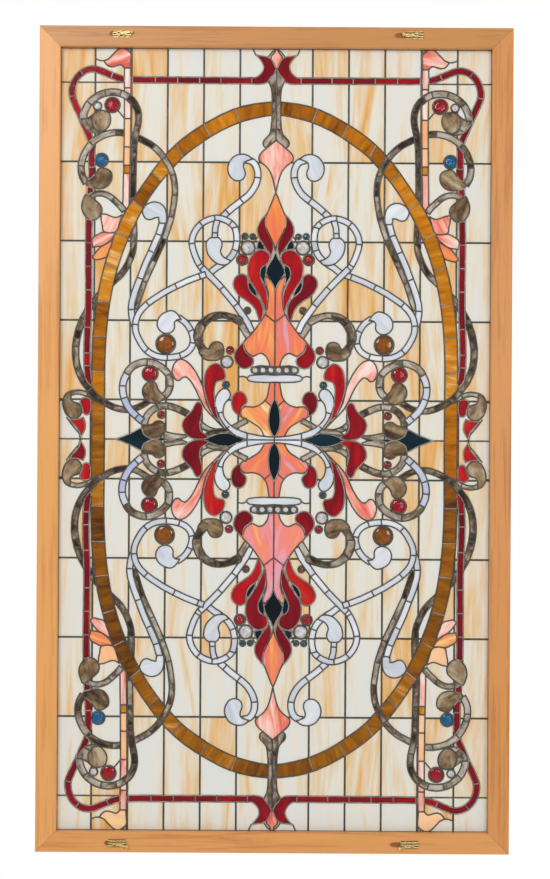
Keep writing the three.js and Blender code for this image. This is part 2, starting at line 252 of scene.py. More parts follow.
def lay(name, kind, text, copies="four", joints="", tone=(0.0, 1.0), grain="along", whole=False,
        corner=TIP_ANGLE, below=None):
    """A closed shape from its control points. joints are cuts "x z x z" from edge to edge; with whole, the
    mirrored copies melt together where they touch; below is another kind of glass for the lower half."""
    control = points(text)
    if copies == "across":
        mirrored = control[::-1] * (-1, 1)
        control = np.vstack([control, mirrored[np.abs(mirrored[:, 0]) > 1e-6]])
    if copies == "level":
        mirrored = control[::-1] * (1, -1)
        control = np.vstack([control, mirrored[np.abs(mirrored[:, 1]) > 1e-6]])
    outline = smooth(control, closed=True, corner=corner)
    outline = np.where(control.min(0) >= 0, np.maximum(outline, 0.0), outline)
    cuts = [longer(cut.reshape(2, 2)) for cut in points(joints)] if joints else []
    put(name, kind, outline, cuts, copies, tone, grain, whole, below)


def strap(name, kind, text, width, joints="", tone=(0.0, 1.0), end_width=None):
    """A ribbon along a line: each edge is the line moved half the width to its side. joints are places
    on it."""
    line = smooth(points(text))
    side = side_of(line)
    far = width if end_width is None else end_width
    run = np.concatenate([[0.0], np.cumsum(np.linalg.norm(np.diff(line, axis=0), axis=1))])
    half = (width + (far - width) * run / run[-1])[:, None] / 2
    outline = np.vstack([line + side * half, (line - side * half)[::-1]])
    cuts = []
    for place in points(joints) if joints else []:
        i = int(np.argmin(np.linalg.norm(line - place, axis=1)))
        cuts.append(longer(np.array([line[i] - side[i] * half[i], line[i] + side[i] * half[i]])))
    put(name, kind, outline, cuts, "four", tone, "along", False)


# %% [markdown]
# ### The ground
# Behind the ornament lies a ground of cream quarries, leaded on an even grid.
# The grid lines are remembered as free lines: they only show where nothing
# lies over the ground. A few short leads tie ornaments to the grid.

# %% The grid and the loose ground leads
GRID_ACROSS, GRID_UP = 66.0, 144.4
GRID_X = [GRID_ACROSS * i for i in range(-5, 6)]
GRID_Z = [GRID_UP * (i + 0.5) for i in range(-4, 4)]
GROUND_LINES = []
for x in GRID_X:
    GROUND_LINES.append((np.array([[x, -HALF_HEIGHT], [x, HALF_HEIGHT]]), True))
for z in GRID_Z:
    start = GRID_ACROSS if abs(z) < GRID_UP else 0.0
    for way in (-1, 1):
        GROUND_LINES.append((np.array([[way * start, z], [way * HALF_WIDTH, z]]), True))
TIES = [
    "280 649.8, 396 649.8", "335 0, 396 0", "290 0, 311 0", "38 701, 45 716", "0 712, 8 707, 15 698",
    "335.5 0, 335.5 72", "50 112.6, 55.7 115.4, 66 114.4", "33.4 369, 36.5 364, 39 358",
    "60 368, 62 358", "288.6 598.6, 278 585.7", "314 689.3, 321.4 689.3, 330 693", "388 70, 396 70",
    "378.6 38.6, 371 28, 362 17, 356 10, 354 2", "270 716, 270 706", "266 716, 266 703",
]
for tie in TIES:
    line = smooth(points(tie))
    for flip in flips("four"):
        GROUND_LINES.append((line * flip, False))
print(len(GROUND_LINES), "ground leads")

# %% [markdown]
# ### Dark diamonds, the ring and the red border
# The lowest layer of the ornament: blue-black pieces on the middle lines and
# between the flames, then the tall amber ring and the red border band that
# hooks over at the middle of the top and bottom.

# %% Lowest shapes
lay(
    "dark_diamond_high", "teal",
    "0 344, 4.6 331, 10 323, 15 313.5, 17 304, 13.9 298, 10 292, 4.6 284, 0 271",
    "across",
)
lay("dark_cell_top", "teal", "25 366, 31 362, 34.5 348.5, 27 347, 19 346, 22 356")
lay("dark_cell_hook", "teal", "17 319, 23 316, 28 309, 28 300, 24 291, 17 280, 15 290, 18 300, 16 310")
lay("dark_sliver", "teal", "46.5 289, 50 281, 46 271, 40 263, 33 260, 34 268, 40 279")
lay(
    "dark_level_strip", "teal",
    "42 0, 56 1.5, 65 5, 74 9, 82 12, 90 13, 98 12, 108 9, 119 5, 130 0",
    "level",
)
lay(
    "dark_level_diamond", "teal",
    "172 0, 200 2, 215 6, 228 13, 238 18.5, 243 20, 250 17, 260 11.4, 274 5.7, 285 1.5, 291 0",
    "level",
)
strap(
    "scroll_a_foot", "grey",
    "259 525, 259.6 500, 260 470, 260.6 430",
    9.8, joints="259.7 482", tone=(0.6, 1.0),
)
strap("pink_column_foot", "pink", "272 486, 272.5 460, 273 420", 11.5, tone=(0.0, 0.3))
strap(
    "scroll_c_high", "grey",
    "260 440, 259.4 420, 258.6 400, 258 386, 257.5 371, 258 360, 259.3 345.7, 263.5 331.5, 268.6 319.3, "
    "275.8 307, 285 296, 293 289, 307 275, 322 261, 332 248, 341 235, 350 219, 357 200, 360 188",
    9.5, joints="258 360, 263.5 331.5, 280 301, 328 253, 347 225", tone=(0.45, 1.0), end_width=11.5,
)
lay(
    "red_band", "red",
    "45 660, 38.6 660, 30 665.7, 25 673, 23.6 680, 25.7 687, 30.7 694.3, 38 701.5, 28.6 699.3, 20 698.6, "
    "10 694.3, 2.9 683, 0.7 674.3, 5.7 660, 14.3 653, 23 649, 45 648.6",
    tone=(0.2, 0.6), corner=58.0,
)
strap(
    "red_border", "red",
    "45 654.4, 120 654.4, 200 654.6, 262 655, 280 655.8, 300 662.5, 320 670.7, 332 674, 347 671.5, "
    "358.6 664, 367 653, 371.5 640, 372.5 630, 370.5 619, 363.5 603, 355 585, 345 562, 339 548, 335.7 530, "
    "335.7 510, 336 480, 338 455, 340 400, 340 250, 340 110, 338 96",
    11.5,
    joints="48 654.4, 93 654.4, 141 654.4, 186 654.4, 231 654.6, 268 655, 309 666, 353.6 667.5, 371 624, "
           "336 500, 340 400, 340 355, 340 310, 340 268, 340 214, 340 168, 340 130",
    tone=(0.1, 0.35),
)
RING_OUTER = (
    "6 616, 20 614.6, 40 612.2, 60 608, 80 601.5, 100 592.5, 120 581.6, 142 568.5, 160 556.2, 180 540, "
    "196 524.5, 212 506, 227 486, 240 467.5, 254 446.5, 267 427, 279 405, 293 374, 304.3 341, 313 310, "
    "320 280, 325 251.4, 329 222, 331.8 190, 333 150, 333.4 75, 333.4 0"
)
RING_INNER = (
    "309.6 0, 309.8 75, 309.5 150, 307.6 190, 304.8 222, 300.8 251.4, 294.5 285, 285 320, 272 357, 261 382, "
    "250 405, 236 431, 221 454, 204 476.5, 190 492.5, 178 506, 168 516.5, 152 529.5, 135 541.5, 118 553, "
    "100 563.4, 80 573, 60 580.6, 40 586, 20 590, 6 592"
)
lay(
    "amber_ring", "amber",
    RING_OUTER + ", " + RING_INNER,
    joints="75 604 66 578, 132 575 120 551, 182 538 170 515, 226.4 487 209 470, 261.4 436 243 421, "
           "291.4 378 273 368, 310.7 318 291 312, 325 250.7 301 248, 332 187 308 187, 333 123 309 123",
    grain="across", whole=True, below="deep_amber",
)
print(len(SHAPES), "shapes so far")

# %% [markdown]
# ### The corner scrolls and far scrolls
# Grey-brown scrolls wind over the ring at each corner. Where one scroll passes
# under another, it was simply laid earlier.

# %% Corner scrolls, buds, petals
lay("top_diamond", "pink", "0 715, 4 706, 10.5 697, 6 688, 0 674", "across", tone=(0.8, 1.0))
lay(
    "bone", "grey",
    "0 677, 5.7 665, 14 656, 9.4 641, 7.6 620, 7.9 600, 9.2 570, 12.8 556, 17 551.4, 23 544.3, 23.6 538.6, "
    "21.4 534.3, 17 532, 11.4 535.7, 5.7 541.4, 0 547",
    joints="-1 566 11 566", tone=(0.2, 0.65),
)
lay(
    "petal_coral", "pink",
    "280 408.6, 291.4 403.6, 300 405.7, 308.6 409.3, 318.6 410.7, 318 398.6, 315.7 388.6, 314.3 380, "
    "308.6 376, 300 375.4, 293 377, 284 395",
    tone=(0.5, 0.9), grain="across", below="peach",
)
lay(
    "petal_pink", "pink",
    "291.4 376, 303 375.5, 314.3 377, 323 373, 334.3 364.3, 333 349.3, 321.4 350.7, 313 353, 305.7 358.6, "
    "298.6 364.3",
    tone=(0.0, 0.5), below="coral",
)
lay(
    "petal_orange", "orange",
    "297 363, 308.6 355.7, 318.6 350, 328.6 338.6, 334 331, 328.6 326.4, 318.6 328, 308.6 331.4, 303.5 343, "
    "299 354.3",
    below="pink",
)
lay("far_strip", "grey", "160 8, 181 10, 201 14.3, 201 2, 169 1, 160 4.6", tone=(0.0, 0.3))
lay(
    "far_band", "grey",
    "322 75, 335.7 82.2, 347 87.3, 358.4 89.2, 372 87, 371 78.6, 361.3 81.4, 350 80, 337 74.6, 325 68",
    joints="343 74 339 90", tone=(0.0, 0.3),
)
lay(
    "far_head", "brown",
    "372 87, 378.3 84, 383.4 77.3, 385.8 68.8, 384.9 57.4, 381.2 47.5, 375.5 40.4, 367 36.7, 358.4 38.9, "
    "352.7 44.6, 350.5 53.2, 352.7 60.3, 359 65.1, 365.5 66.8, 369.4 69.7, 371 73.6, 370.6 79",
    tone=(0.0, 0.7), corner=75.0,
)
lay(
    "far_red_bud", "red",
    "335.7 73, 344.2 75.3, 351.3 73.6, 354.2 68.8, 352.7 61.7, 349.9 56, 348.5 47.5, 342.8 43.8, 337.1 46, "
    "334.6 53.2, 334.4 64.5",
    tone=(0.4, 1.0),
)
lay(
    "far_red_drop", "red",
    "348.5 39, 354.2 37, 364 35.5, 372.6 35.5, 368.4 29, 361.3 21.9, 355.6 13.4, 353.3 3, 348.5 10.5, "
    "344.8 19, 345 30.4",
    tone=(0.2, 1.0),
)
strap(
    "scroll_b", "grey",
    "346 466, 352.5 478, 355 492, 354.3 503, 351 515, 345.5 526.5, 337 538, 325 548, 309 555.5, 292 558.5, "
    "276 557.5, 261 552.5, 247 547, 230 538, 216 527, 204 513, 195 498, 188 482, 184.5 465, 184 445, "
    "186.5 425, 190 405, 196 385, 203 365, 212 345, 221 325, 230 305, 238 287, 244.5 268, 250 250, 256 238",
    11.5,
    joints="354.6 497, 338 536.7, 296 558, 262 553, 226 535.5, 200 506, 187 480, 185 440, 191 400, 206 358, "
           "224 318, 241 278",
    end_width=8.5,
)
lay(
    "bud_coral", "pink",
    "266 703, 265.6 690, 266.5 675.7, 275.7 674.3, 279.3 678.6, 284.3 682, 291.4 680, 300 678, 307 680, "
    "315 689, 305.7 693, 300 699.3, 293 706.4, 285.7 711.4, 278.6 712, 271.4 708",
    tone=(0.75, 1.0), corner=75.0, below="peach",
)
strap(
    "pink_column", "pink",
    "271.4 676, 271.2 640, 271 600, 271 582",
    11.8, joints="271 636", tone=(0.0, 0.5),
)
strap("pink_column_middle", "peach", "271 584, 271.2 550, 271.8 497", 11.8, joints="271.5 536.4")
strap("pink_column_spot", "amber", "271.8 499, 272 484", 11.6, tone=(0.9, 1.0))
strap(
    "scroll_a", "grey",
    "352 578, 350.5 592, 346 604, 341 612, 332 620.5, 318 628.5, 300 632, 284 630, 270 623, 262 616",
    11.8, joints="340 613.5, 311 630.5, 284 630", tone=(0.0, 0.35),
)
strap(
    "scroll_a_dark", "grey",
    "270 623, 262 616.5, 256 607.5, 252.5 599, 251 586, 252.5 571, 256.5 553, 259 532, 259.2 522",
    11.0, joints="251.2 590, 254.5 562, 259 536", tone=(0.6, 1.0), end_width=10.0,
)
strap(
    "scroll_c_low", "grey",
    "357.5 198, 361 183, 363 168, 363 152, 360.5 134, 355 118, 346.5 102, 337 90, 327 78, 313 68, 300 61, "
    "286 55.7, 271 53.5, 253 56.5, 241 62, 230 69",
    12.0, joints="360.5 184, 363 160, 357 124, 341 95, 320 73, 296 59.5, 262 54.5", tone=(0.5, 1.0),
    end_width=9.5,
)
strap(
    "scroll_c_band", "grey",
    "276 416, 283 424.5, 292 433, 302 441.5, 315 447, 329 446.5, 341 440",
    10.5, joints="296.5 436.5", tone=(0.2, 0.6), end_width=9.0,
)
lay(
    "scroll_c_head", "brown",
    "336 440.5, 326 432.5, 319 425.5, 316.4 417, 319.5 407.5, 327 400, 336 398.5, 344.5 403, 351 412, "
    "353.6 424, 351 436, 344.5 445.5, 341 444",
    tone=(0.15, 0.6), corner=80.0,
)
lay(
    "scroll_a_turn", "grey",
    "357 583, 348.6 568.6, 340 561, 328.6 557, 318.6 559, 308.6 565.7, 303 574.3, 302 585.7, 304.5 593, "
    "311.5 597.5, 321.4 598.6, 329 595.5, 337 589, 347 583.5",
    joints="336 566 347 560", tone=(0.1, 0.6), corner=80.0,
)
lay(
    "scroll_a_head", "brown",
    "302 585.7, 304.5 593, 311.5 597.5, 321.4 598.6, 329 595.5, 334.5 588, 336 579, 333 569, 326 562, "
    "318 560, 308.6 565.7, 303 574.3",
    tone=(0.15, 0.6), corner=80.0,
)
lay(
    "scroll_b_head", "brown",
    "298.6 478.6, 300 485.7, 305.7 490.7, 314.3 493.6, 321.4 493, 328.6 484.3, 335.7 475.7, 344.3 470, "
    "345.5 463.6, 333 457, 323 455.7, 311.4 458, 303 465",
    tone=(0.2, 0.8), corner=80.0,
)
strap(
    "scroll_e", "grey",
    "159 47, 167.5 51.5, 177.8 56.1, 188.7 59.8, 199.6 61, 209.4 60.2, 216.5 56.8, 225 51.3, 232 43, "
    "236 33, 236.5 26",
    11.2, joints="170 52.5, 194 60.4, 214.5 57.9", tone=(0.1, 0.6),
)
strap("scroll_e_start", "grey", "158.5 46.8, 163 49.3, 170.5 53", 11.2, tone=(0.85, 1.0))
strap(
    "scroll_d_low", "lilac",
    "241 33, 251 41.5, 260 50, 268 61, 274 75, 276.6 86, 276.8 97, 275.5 105, 272 114, 267.5 122",
    12.0, joints="250 41, 274 76, 276.5 98",
)
strap(
    "scroll_d", "grey",
    "270 119, 266 125.5, 259 132.5, 248.5 137.8, 237 140.7, 224 139.5, 211 134, 201.5 127, 194 118, "
    "190.8 105, 191.8 93, 198 82, 207 76",
    12.0, joints="269.5 120, 231.7 140.3, 194.8 119, 191.5 97", tone=(0.0, 0.45),
)
lay(
    "scroll_d_head", "brown",
    "199 77, 207 85, 212.5 91.5, 215 99.5, 220 104.5, 227 104.8, 235 101, 240 93, 240.8 84, 236.4 74.5, "
    "228.6 67.3, 218.6 65.7, 208.6 69",
    tone=(0.3, 1.0), corner=80.0,
)
lay(
    "scroll_e_head", "brown",
    "199.6 26, 204 31.4, 210 33.6, 215.7 33, 223 27.5, 231 26, 242 25.7, 241 17, 238 9, 231.4 4.3, "
    "221.4 0.5, 211.4 1.4, 203 8.6, 199.6 16.7",
    tone=(0.5, 1.0), corner=80.0,
)
print(len(SHAPES), "shapes so far")

# %% [markdown]
# ### The white scrolls, flames and bells
# White scrolls curl outwards from the middle axis; between them stand red
# flames and coral bells. These lie over everything else.

# %% Middle shapes
lay(
    "lozenge", "pink",
    "0 546.5, 8 539.5, 17 532, 25.7 524.5, 31 516, 31 510, 26 504.5, 20 500, 10.7 488.6, 5.7 475.7, "
    "2.6 463, 0 450",
    "across", tone=(0.35, 0.65), corner=60.0,
)
lay(
    "flame_heart", "orange",
    "0 450, 3.6 443, 7 434, 13 418.6, 17.4 409, 19.8 400, 18.4 389, 14.5 380, 9.3 369.4, 4.6 360, 0 348",
    "across", corner=50.0, below="coral",
)
strap(
    "white_g", "white",
    "54 509.5, 46 508, 40 504, 35.3 496, 33 484.5, 34.6 471.4, 39.8 459.3, 48.5 447, 62 435.7, 78.5 423, "
    "97 406.5",
    11.5, joints="33.5 478, 60 437.5, 92 411",
)
lay(
    "white_g_head", "white",
    "69 519.5, 77 515.7, 84.3 507, 88 495.7, 86.4 485.7, 81.4 477, 70.6 471.8, 61.4 474.3, 56.4 481.4, "
    "56.4 488.6, 59.3 497, 58 505, 53.6 508, 43 511.5, 50 517.5, 60 520.5",
    corner=80.0,
)
strap(
    "loop_right", "white",
    "72 383, 78 391, 87 398, 98 402.5, 111 403.6, 124 400, 136 393, 145 382.5, 150.6 371, 152.5 357, "
    "148.5 341, 142 325, 134 312, 128 305",
    10.6, joints="81 394, 111.6 403.6, 134 394, 152.3 353, 136.5 316",
)
strap(
    "loop_left", "white",
    "74 387, 71.5 378, 70.4 367, 71 357, 74 345.5, 79 335.5, 87 327, 97 319.5, 108 313, 119 304",
    11.0, joints="70.6 363, 73.5 347, 92 323",
)
lay(
    "loop_head", "white",
    "106 369, 98.4 361, 97.5 353.6, 100.3 344.3, 97.5 336, 91 330.4, 81.7 326.6, 85.4 321, 97.5 318.5, "
    "106.8 321, 116 328.4, 123 337.8, 126 348, 126.3 358, 122.6 364.5, 116 369",
    corner=80.0,
)
lay(
    "loop_stem", "white",
    "101 399, 105 386, 106 368, 116 368, 115 386, 112 400",
    joints="104 376.8 118 376.8",
)
strap(
    "white_g_diagonal", "white",
    "134 313, 122 301, 109 288, 97.5 276, 84 260, 72 245.5, 60.5 229, 50 214, 42 196",
    11.0, joints="131 310, 98 277, 67 238",
)
strap(
    "white_f", "white",
    "205.5 400, 208.5 388, 213 373, 219.5 358, 226.5 342, 236.4 320, 246.5 293, 255.7 268.6, 260.8 250, "
    "262 236, 260.5 222, 257 208",
    11.2, joints="211 379, 223.2 350, 246 294, 261.5 237",
)
lay(
    "white_f_head", "white",
    "199.3 394, 199 410, 203 423, 211 430, 221 432.5, 232 429.5, 240 423, 243 416, 241 408, 236 401.5, "
    "228.6 400, 220 403.5, 213.5 404.5, 211.5 395",
    corner=80.0,
)
strap(
    "big_loop", "white",
    "176 222, 165 214.5, 156.5 204, 151 192, 149 180, 152 168, 161 158, 172.5 152.5, 184 150, 196 149, "
    "212 150.5, 224 155, 238 166, 247.5 181, 253.5 195, 254.5 209, 251.5 223, 242 238, 222 255, 202 268, "
    "181 279, 160 289, 138 297.5, 127 301",
    10.6,
    joints="154.5 201, 149.5 174, 171 153, 192.6 149, 232 161, 254.5 209, 231 248, 191.5 273.6, 144.5 294.5",
)
lay(
    "big_loop_head", "white",
    "176 226, 187 234.3, 200 231.6, 208.6 225.7, 214 216, 214 205, 208 196.5, 198 193, 188 196, 183 204, "
    "183.5 213, 178 218, 171 218",
    corner=80.0,
)
lay(
    "scroll_h", "grey",
    "58 217, 62 224, 70.6 226.5, 88.2 231.5, 97.5 232.4, 106.8 232, 116 230, 125.3 225.4, 138 215, 146 200, "
    "148 185, 143 172, 137 159, 124 166, 131 175, 133 188, 129 200.4, 125.3 207, 119.8 213.4, 111.4 218, "
    "102 221.3, 93 221.7, 83.6 219, 74 213.5, 64 210",
    joints="103 219 104 234, 127 204 138 217, 131 182 150 182", tone=(0.2, 0.9), corner=75.0,
)
lay(
    "scroll_h_head", "brown",
    "93 165, 93 158.6, 97.5 149.3, 105 144.7, 112.2 144.2, 125.6 145.4, 133 150.3, 138.5 159, 128 168.5, "
    "121.6 164.2, 119 169.7, 114.2 176.2, 106.8 178.5, 98.4 176.2",
    tone=(0.3, 0.7), corner=80.0,
)
lay("scroll_h_tail", "grey", "43 190, 51 204, 58 214, 66 206, 58 193, 51 182", tone=(0.0, 0.2))
SHAPES.append(SHAPES.pop(next(i for i, s in enumerate(SHAPES) if s["name"] == "white_g_diagonal")))
print(len(SHAPES), "shapes so far")

# %% Flames, bells, paisleys and crescents
lay(
    "flame_one", "red",
    "17.2 411, 24 404, 30.5 394, 33.5 384, 32 373, 26.9 363, 21.4 354.5, 15.8 346, 10.5 340, 8.5 332, "
    "5.6 340.6, 3.7 348, 4.6 358, 9.3 369.4, 14.8 380, 18.2 390.7, 19 401",
    tone=(0.0, 0.5),
)
lay(
    "flame_two", "red",
    "11 338, 18 344, 27 346.5, 37 342.5, 44.6 334, 49.3 323, 51 312, 50 302, 47 291, 40 281, 35 272, "
    "30 266, 25 254, 20 244, 16.7 231, 14.8 243, 13.9 252, 14.4 262.6, 16.5 272, 21 282, 25.3 291, "
    "27.9 300, 27.4 308, 24 315, 18.6 318.5, 14 321, 10.6 328",
    tone=(0.2, 1.0),
)
lay(
    "flame_three", "red",
    "50.5 296, 56 301, 63 302, 70.5 298, 75.7 290.5, 77 283, 74.3 274.6, 68.7 265.5, 56 256, 46.4 249.6, "
    "40 243, 34.4 234, 31.6 226, 27.5 213, 23.5 222, 21.8 230, 22.3 239.4, 25 248.6, 29.7 257, 36 262, "
    "43 268, 48 276, 50 286",
    tone=(0.2, 1.0),
)
lay(
    "bell_high", "coral",
    "0 272, 4.6 284, 10 292, 14.6 298.5, 18.4 295, 17.6 286, 15 276, 12.6 268, 13.4 256, 14.9 239.4, "
    "17.5 231, 22 222, 27.9 213.5, 33 206, 38.5 198.5, 45.5 190, 52 184, 57 178, 56 169.7, 52.9 162.3, "
    "46.4 155.8, 39.5 152.5, 33.4 155, 26 157.7, 20.4 155.8, 14.9 150.2, 11.6 144, 9.8 138, 9 131, 0 131",
    joints="-0.5 214 17 228", tone=(0.2, 0.8), corner=60.0, below="rose",
)
lay(
    "red_paisley", "red",
    "57 178.5, 65 171, 70.6 163, 73.5 155, 72.5 146, 68 137, 60 131, 52 130, 44 133.5, 39.5 140, "
    "39.6 147.5, 44 152.5, 50 156.6, 54.8 163, 56.8 171",
    tone=(0.0, 0.6),
)
lay("pearl_seat", "solder", "0 133, 38 133, 42 131, 43.5 127, 42 123, 38 121, 0 121", "across")
lay(
    "white_bar", "white",
    "0 118, 40 118, 47 116.2, 50.5 112, 48 108.4, 42 106.4, 36 105.4, 0 105.2",
    "across", grain="level",
)
lay(
    "bell_low", "coral",
    "0 105, 9 105, 10 98, 11.4 89.4, 14 78, 18.6 70.8, 24 65.6, 31.6 61.6, 40 59.6, 52 60.6, 58.6 57, "
    "61.7 49.4, 59.4 41, 52.9 38.3, 44.6 33.6, 35.3 28, 26.9 21.6, 21.4 13.2, 18 6.8, 0 5.5",
    joints="6 61 17 71.5", tone=(0.25, 0.7), corner=60.0,
)
lay("dark_diamond_low", "teal", "0 76, 4 68, 8 58, 10 46, 10.5 34, 8.5 20, 4.5 11, 0 4", "across")
strap("beige_strip", "grey", "50 35, 56 32.5, 62 29, 69 25.5, 76 21", 9.0, tone=(0.0, 0.2))
lay(
    "low_paisley", "red",
    "63.5 88, 70.6 86.2, 75.2 81, 77.8 73.6, 78 64.3, 76 56, 71.5 49.4, 62.5 43, 61.4 46, 61 52.2, "
    "58.5 59.6, 54 64.3, 51 68, 50.6 73.6, 53 80, 57.6 86",
    tone=(0.1, 0.7),
)
lay(
    "grey_crescent", "grey",
    "94 18.5, 103 19, 111 20.4, 123 25.2, 131.5 32, 134.5 24, 128 17.5, 118 14.5, 106 14.5",
    tone=(0.0, 0.4),
)
lay(
    "olive_strip", "grey",
    "79 14.5, 88 19.5, 97 20, 108 18.5, 120 15, 128 8, 118 8.5, 106 10.5, 94 12, 85 12",
    tone=(0.4, 0.8),
)
lay(
    "low_flame", "red",
    "139.5 68, 133 64, 131 55.6, 133 43.4, 136 31.3, 135.3 20.4, 131.6 13, 124.4 9, 119.5 3.4, 128 0.8, "
    "142.6 0.8, 152.3 3.4, 160.8 9.4, 166.3 18, 168 27.6, 165.6 36, 159.6 43.4, 152.3 50.7, 147.4 58, "
    "144 65.3",
    tone=(0.1, 0.8),
)
lay(
    "coral_paisley", "pink",
    "150 132, 157 139.4, 165.6 144.8, 173 146, 180.2 141.8, 185.7 132, 187 122.4, 184 114, 179 107.8, "
    "173 107.8, 168 112.6, 163.2 114, 157 110.2, 150 101.7, 143.8 90.8, 139 80, 133 67.7, 126.8 56.8, "
    "118.3 47, 108.6 37.4, 99 27.6, 91 20, 102.5 35, 111 43.4, 117 53, 124.4 67.7, 128.6 84.7, 131 97, "
    "136.5 109, 142.6 121",
    tone=(0.5, 0.9),
)
lay(
    "tall_flame", "red",
    "106.8 139, 100 135.7, 94 129.6, 90.4 121, 89.7 114, 92.8 109, 97.6 107.8, 105 105.4, 109.2 98, "
    "110.4 89.6, 109.8 77.4, 108 63, 106 50.7, 102.5 38.6, 100.5 33, 108.6 39.8, 113.4 48.3, 118.3 59.2, "
    "123 71.4, 127.4 87, 128.6 101.7, 127.4 114, 125 124.8, 119.5 133.3, 112.8 138",
    tone=(0.2, 1.0),
)
lay(
    "crescent", "white",
    "80.8 79.5, 81.7 86.6, 86.4 92, 93 93, 100.3 88.4, 106 80, 108.6 71.7, 108.2 62.4, 105 52.2, 102 45.7, "
    "98.4 37.4, 93.8 30, 88.2 22.5, 80.8 15, 74.3 9.5, 65 5, 55.7 1.8, 46 0.2, 20 0, 0 0, 0 5.2, 10 5.6, "
    "21.4 6.7, 32.5 8.6, 46.4 11.4, 59.4 15.5, 70.6 20.2, 80 26.6, 87.3 34, 92 41.4, 93.8 51.3, 93 57.8, "
    "91 65.2, 86.4 71.2",
    joints="93 51 103 48, 49.5 -1 49.5 14, 84 23 90 18", corner=60.0,
)
print(len(SHAPES), "shapes so far")

# %% [markdown]
# ### Jewels
# Jewels are pressed rounds set in their own ring of lead. Here only their
# places are cut out of the cartoon; the glass itself is turned later.

# %% Jewel places
SEAT_SIDES = 28
JEWELS = []
SEATS = [
    ("red_jewel", 227, 119.5, 13.5), ("red_jewel", 298.6, 608.6, 13.0), ("blue_jewel", 318, 508, 11.5),
    ("amber_jewel", 199, 174, 17.0), ("red_jewel", 206.3, 44.6, 6.2), ("red_jewel", 81.7, 162.8, 6.2),
    ("red_jewel", 60.8, 328, 9.2), ("clear_jewel", 325.7, 606.4, 7.0), ("clear_jewel", 50, 350, 11.8),
    ("clear_jewel", 87.3, 141.8, 10.0), ("clear_jewel", 7.1, 127, 5.5), ("clear_jewel", 21.5, 127, 5.5),
    ("clear_jewel", 36, 127, 5.5), ("teal_jewel", 41.8, 370.3, 4.6), ("teal_jewel", 55.7, 370.8, 5.0),
    ("teal_jewel", 88.7, 100, 5.6), ("brown_jewel", 50.6, 235.6, 5.6),
]
around = np.linspace(0, 2 * np.pi, SEAT_SIDES, endpoint=False)
for kind, x, z, radius in SEATS:
    ring = np.stack([x + radius * np.cos(around), z + radius * np.sin(around)], 1)
    put("seat_%s_%d_%d" % (kind, x, z), "jewel", ring, [], "four", (0, 1), "along", False)
    for sx, sz in flips("four"):
        JEWELS.append((kind, x * sx, z * sz, radius))
print(len(JEWELS), "jewels")

# %% [markdown]
# ## From cartoon to cut lines
# All outlines, joints and ground leads go into one constrained Delaunay
# triangulation, which finds every crossing. Each triangle then belongs to the
# topmost shape over it. A line is a real lead only where the shapes on its two
# sides differ, or where it is a joint of the shape that is on top there.

# %% Triangulate the cartoon
edge_points, edge_pairs, edge_owner, edge_is_joint, edge_is_grid = [], [], [], [], []
OWNERS = ["ground"] + sorted({s["owner"] for s in SHAPES})
OWNER_INDEX = {name: i for i, name in enumerate(OWNERS)}
point_total = 0


def draw_line(line, owner, is_joint=False, is_grid=False, closed=False):
    """Adds a polyline's points and its pairs of neighbours to the cartoon."""
    global point_total
    n = len(line)
    here = np.arange(n if closed else n - 1)
    edge_points.append(line)
    edge_pairs.append(np.stack([here, (here + 1) % n], 1) + point_total)
    edge_owner.append(np.full(len(here), OWNER_INDEX[owner]))
    edge_is_joint.append(np.full(len(here), is_joint))
    edge_is_grid.append(np.full(len(here), is_grid))
    point_total += n


SAME_POINT = 0.05     # mm; nearer points become one
NO_AREA = 1e-9
W, H = HALF_WIDTH, HALF_HEIGHT
draw_line(np.array([[-W, -H], [W, -H], [W, H], [-W, H]]), "ground", is_grid=True, closed=True)
for line, is_grid in GROUND_LINES:
    draw_line(line, "ground", is_joint=True, is_grid=is_grid)
for shape in SHAPES:
    draw_line(shape["outline"], shape["owner"], closed=True)
    for cut in shape["cuts"]:
        draw_line(cut, shape["owner"], is_joint=True)
all_points = np.vstack(edge_points)
all_points[:, 0] = np.clip(all_points[:, 0], -W, W)
all_points[:, 1] = np.clip(all_points[:, 1], -H, H)
all_pairs = np.vstack(edge_pairs)
edge_owner = np.concatenate(edge_owner)
edge_is_joint = np.concatenate(edge_is_joint)
edge_is_grid = np.concatenate(edge_is_grid)
cut_points, cut_edges, cut_faces, _, source_edges, _ = delaunay_2d_cdt(
    [Vector(p) for p in all_points.tolist()], all_pairs.tolist(), [], 0, SAME_POINT
)
V = np.array([(p[0], p[1]) for p in cut_points])
F = np.array(cut_faces)
area2 = np.cross(V[F[:, 1]] - V[F[:, 0]], V[F[:, 2]] - V[F[:, 0]])
F[area2 < 0] = F[area2 < 0][:, ::-1]
F = F[np.abs(area2) > NO_AREA]
print(len(all_points), "drawn points ->", len(V), "points,", len(F), "triangles")

# %% [markdown]
# A triangle lies inside an outline when the outline goes round its middle. The
# shapes are tried in the order in which they were drawn, so the last hit is the
# shape on top.

# %% Find the topmost shape over each triangle
def windings(outline, where):
    """How often a closed line goes round each point: its crossings of the point's level, up less down."""
    a, b = outline, np.roll(outline, -1, 0)
    along, up_by = (b - a).T
    left = along * (where[:, 1:] - a[:, 1]) - (where[:, :1] - a[:, 0]) * up_by
    up = (a[:, 1] <= where[:, 1:]) & (b[:, 1] > where[:, 1:]) & (left > 0)
    down = (a[:, 1] > where[:, 1:]) & (b[:, 1] <= where[:, 1:]) & (left < 0)
    return up.sum(1) - down.sum(1)


